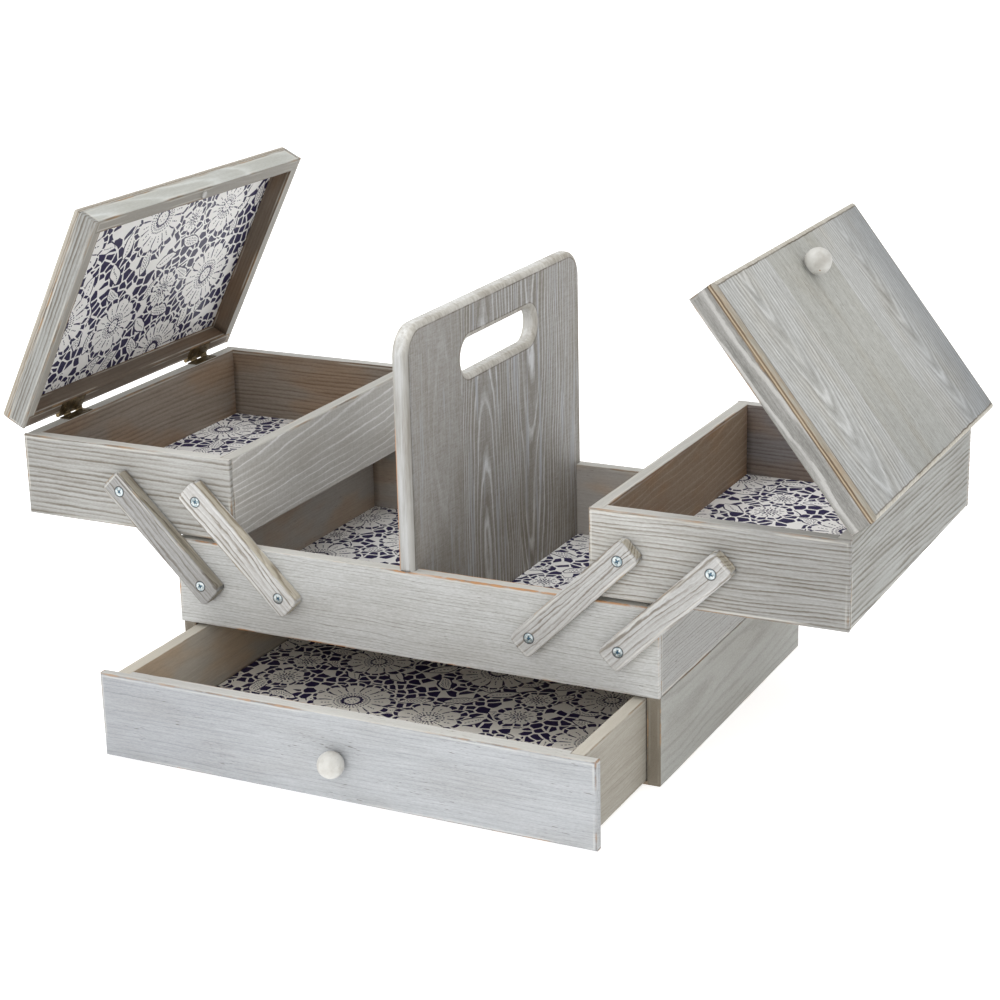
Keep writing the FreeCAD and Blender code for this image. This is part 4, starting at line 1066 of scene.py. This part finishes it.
def screw(bm, deep, o, axis, length, hr=3.5, r=2.0, turn=0.35, dome=0.40, rec=0.9, arm_w=0.48, arm_l=2.0):
    """Raised countersunk head with a cross recess. axis points out of the head; o is the rim centre."""
    M = frame_of(o, axis)
    seg, nr = 80, 16
    rr = (hr * hr + dome * dome) / (2 * dome)

    def height(x, y):
        d2 = x * x + y * y
        z = math.sqrt(max(rr * rr - d2, 0)) - (rr - dome)
        k = 0.0
        for c, s_ in ((math.cos(turn), math.sin(turn)), (-math.sin(turn), math.cos(turn))):
            a, b = abs(x * c + y * s_), abs(-x * s_ + y * c)
            wv = arm_w * (1.0 - 0.35 * a / arm_l)
            ka = min(1.0, max(0.0, (wv + 0.10 - b) / 0.2)) * min(1.0, max(0.0, (arm_l - a) / 0.9))
            k = max(k, ka)
        cen = min(1.0, max(0.0, (1.05 - math.sqrt(d2)) / 0.5))
        k = max(k, cen)
        return z - rec * k, k

    rings = []
    vals = []
    for j in range(nr + 1):
        q = j / nr
        rad = hr * (q ** 0.85)
        if j == 0:
            z, k = height(0, 0)
            rings.append([bm.verts.new(M @ Vector((0, 0, z)))])
            deep[rings[-1][0]] = k
            continue
        row = []
        for i in range(seg):
            a = 2 * math.pi * i / seg
            x, y = rad * math.cos(a), rad * math.sin(a)
            z, k = height(x, y)
            v = bm.verts.new(M @ Vector((x, y, z)))
            # painted shade weight: the cross recess, and a ring at the head's rim for the gap round it
            deep[v] = max(k, 0.85 if j == nr else (0.25 if j == nr - 1 else 0.0))
            row.append(v)
        rings.append(row)
    cone = hr - r
    for rad, z in ((hr, -0.35), (r + 0.02, -0.35 - cone), (r, -0.45 - cone), (r, -(length - 1.6)), (0.5, -length), (0, -length)):
        if rad == 0:
            rings.append([bm.verts.new(M @ Vector((0, 0, z)))])
            deep[rings[-1][0]] = 0
            continue
        row = []
        for i in range(seg):
            a = 2 * math.pi * i / seg
            v = bm.verts.new(M @ Vector((rad * math.cos(a), rad * math.sin(a), z)))
            deep[v] = 0
            row.append(v)
        rings.append(row)
    for a, b in zip(rings, rings[1:]):
        for i in range(seg):
            j = (i + 1) % seg
            if len(a) == 1:
                bm.faces.new((a[0], b[i], b[j]))
            elif len(b) == 1:
                bm.faces.new((a[i], b[0], a[j]))
            else:
                bm.faces.new((a[i], b[i], b[j], a[j]))


def metal_object(name, bm, deep, mat, node, slot_name, angle=35):
    bmesh.ops.recalc_face_normals(bm, faces=bm.faces)
    vals = [deep.get(v, 0.0) for v in bm.verts]
    me = bpy.data.meshes.new(name)
    bm.to_mesh(me)
    bm.free()
    at = me.attributes.new("deep", "FLOAT", "POINT")
    at.data.foreach_set("value", vals)
    me.shade_smooth()
    me.set_sharp_from_angle(angle=math.radians(angle))
    me.materials.append(mat)
    ob = bpy.data.objects.new(name, me)
    replace_with(ob, node, slot_name)
    return ob


rs_ = random.Random(4)
bm, deep = bmesh.new(), {}
for x in (-PX[1], -PX[0], PX[0], PX[1]):
    for fy in (-1, 1):
        screw(bm, deep, (x, fy * ARM_Y1, PZ), (0, fy, 0), ARM_Y1 - YT + 8.0, turn=rs_.uniform(0, 1.5))
metal_object("tray_screws", bm, deep, MAT["zinc"], "tray_arm_screws", "zinc")
HY = [(-82.0, -96.8, -67.2), (93.0, 78.2, 107.8)]
for s, sx in (("left", -1), ("right", 1)):
    xo = BOX_X[s][1]
    bm, deep = bmesh.new(), {}
    for x in (PX[0] + AX, PX[1] + AX):
        for fy in (-1, 1):
            screw(bm, deep, (sx * x, fy * ARM_Y1, PZ + AZ), (0, fy, 0), ARM_Y1 - YB + 8.0, turn=rs_.uniform(0, 1.5))
    metal_object(f"{s}_box_arm_screws", bm, deep, MAT["zinc"], f"{s}_box_screws_and_pins", "zinc")
    bm, deep = bmesh.new(), {}
    for yc, y0, y1 in HY:
        for dy in (-9.6, 9.6):
            screw(bm, deep, (sx * (xo - 5.2), yc + dy, ZB1 + 0.60), (0, 0, 1), 6.4, hr=1.88, r=0.88, dome=0.22, rec=0.5, arm_w=0.24, arm_l=1.15, turn=rs_.uniform(0, 1.5))
        lathe(bm, [(0, 0), (0.6, 0), (0.75, 0.15), (0.75, 29.05), (0.6, 29.2), (0, 29.2)], 24,
              frame_of((sx * (xo + HINGE_OUT), y0 + 0.2, ZB1 + HINGE_UP), (0, 1, 0)))
    metal_object(f"{s}_box_hinge_pins", bm, deep, MAT["brass"], f"{s}_box_screws_and_pins", "antique_brass")
    R = Matrix.Rotation(math.radians(OPEN[s]) * sx, 3, "Y")
    hinge = Vector((sx * (xo + HINGE_OUT), 0, ZB1 + HINGE_UP))
    bm, deep = bmesh.new(), {}
    for yc, y0, y1 in HY:
        for dy in (-9.6, 9.6):
            o = Vector((sx * (xo - 5.2), yc + dy, ZB1 + LID_GAP - 0.60)) - hinge
            screw(bm, deep, hinge + R @ o, R @ -Z, 6.4, hr=1.88, r=0.88, dome=0.22, rec=0.5, arm_w=0.24, arm_l=1.15, turn=rs_.uniform(0, 1.5))
    metal_object(f"{s}_lid_hinge_screws", bm, deep, MAT["brass"], f"{s}_lid_screws", "antique_brass")
    # knob screw, seen only if the paper is lifted
    bm, deep = bmesh.new(), {}
    o = Vector((sx * (xo - KNOB_U), 0, ZB1 + LID_GAP + RAIL_H + 0.02)) - hinge
    screw(bm, deep, hinge + R @ o, R @ -Z, 12.0, hr=3.5, r=1.75, dome=0.05, rec=0.02, turn=0.2)
    metal_object(f"{s}_lid_knob_screw", bm, deep, MAT["zinc"], f"{s}_lid_screws", "zinc")

bm, deep = bmesh.new(), {}
screw(bm, deep, (0, DY0 + DF_T + 1.45, KNOB_Z), (0, 1, 0), 21.0, hr=3.85, r=1.75, dome=0.5, rec=1.0, turn=0.6)
metal_object("drawer_knob_fixing", bm, deep, MAT["zinc"], "drawer_knob_screw", "zinc")


def finer(node, mat, slot_name, width, suffix, seg=2):
    """A small CAD part with softened edges."""
    bm = clean_copy(node)
    me = bpy.data.meshes.new(node + suffix)
    bm.to_mesh(me)
    bm.free()
    me.shade_smooth()
    me.set_sharp_from_angle(angle=math.radians(30))
    me.materials.append(mat)
    ob = bpy.data.objects.new(node + suffix, me)
    replace_with(ob, node, slot_name)
    b = ob.modifiers.new("soft_edges", "BEVEL")
    b.width, b.segments, b.limit_method, b.angle_limit = width * MM, seg, "ANGLE", math.radians(32)
    b.harden_normals = False
    w_ = ob.modifiers.new("even_shading", "WEIGHTED_NORMAL")
    w_.keep_sharp = True
    return ob


for s in ("left", "right"):
    finer(f"{s}_hinge_box_leaves", MAT["brass"], "antique_brass", 0.12, "_formed")
    finer(f"{s}_hinge_lid_leaves", MAT["brass"], "antique_brass", 0.12, "_formed")
    finer(f"{s}_lid_bumper", MAT["bumper"], "clear_bumper", 0.2, "_dome")

# ---------------------------------------------------------------------------
# stage
# ---------------------------------------------------------------------------
m, t = new_tree("pale_floor")
surface(t, (0.90, 0.90, 0.90), 0.9, None, spec=0.1)
for n in t.nodes:
    if n.type == "BSDF_PRINCIPLED":
        n.inputs["Emission Color"].default_value = (1.0, 1.0, 1.0, 1.0)
        n.inputs["Emission Strength"].default_value = 0.60
bm = bmesh.new()
bmesh.ops.create_circle(bm, cap_ends=True, segments=96, radius=16.0)
me = bpy.data.meshes.new("floor")
bm.to_mesh(me)
bm.free()
me.materials.append(m)
floor = bpy.data.objects.new("floor", me)
floor.location = (0, 0, -0.0003)
bpy.context.scene.collection.objects.link(floor)
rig.stage(floor)

world = bpy.data.worlds.new("studio")
bpy.context.scene.world = world
world.use_nodes = True
world.node_tree.nodes["Background"].inputs[0].default_value = (1.0, 1.0, 1.0, 1.0)
world.node_tree.nodes["Background"].inputs[1].default_value = 0.75


def area(name, loc, target, size, power, colour=(1, 1, 1)):
    d = bpy.data.lights.new(name, "AREA")
    d.shape, d.size, d.size_y = "RECTANGLE", size[0], size[1]
    d.energy, d.color = power, colour
    o = bpy.data.objects.new(name, d)
    o.location = loc
    o.rotation_mode = "QUATERNION"
    o.rotation_quaternion = (Vector(target) - Vector(loc)).to_track_quat("-Z", "Y")
    bpy.context.scene.collection.objects.link(o)
    return o


area("key_above", (0.5, 0.7, 2.3), (0, 0, 0.1), (2.2, 2.0), 12)
area("front", (0.3, -2.8, 1.3), (0, 0, 0.15), (1.8, 1.8), 23.5)
area("upper_left", (-1.4, -0.5, 2.5), (0.1, 0, 0.1), (1.6, 1.6), 24)
bpy.context.scene.view_settings.view_transform = "Standard"
bpy.context.scene.view_settings.look = "None"
bpy.context.scene.view_settings.exposure = 0.0

now_lo, now_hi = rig.bounds()
with open("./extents.json", "w") as f:
    json.dump({"cad": [list(cad_lo), list(cad_hi)], "visual": [list(now_lo), list(now_hi)]}, f)
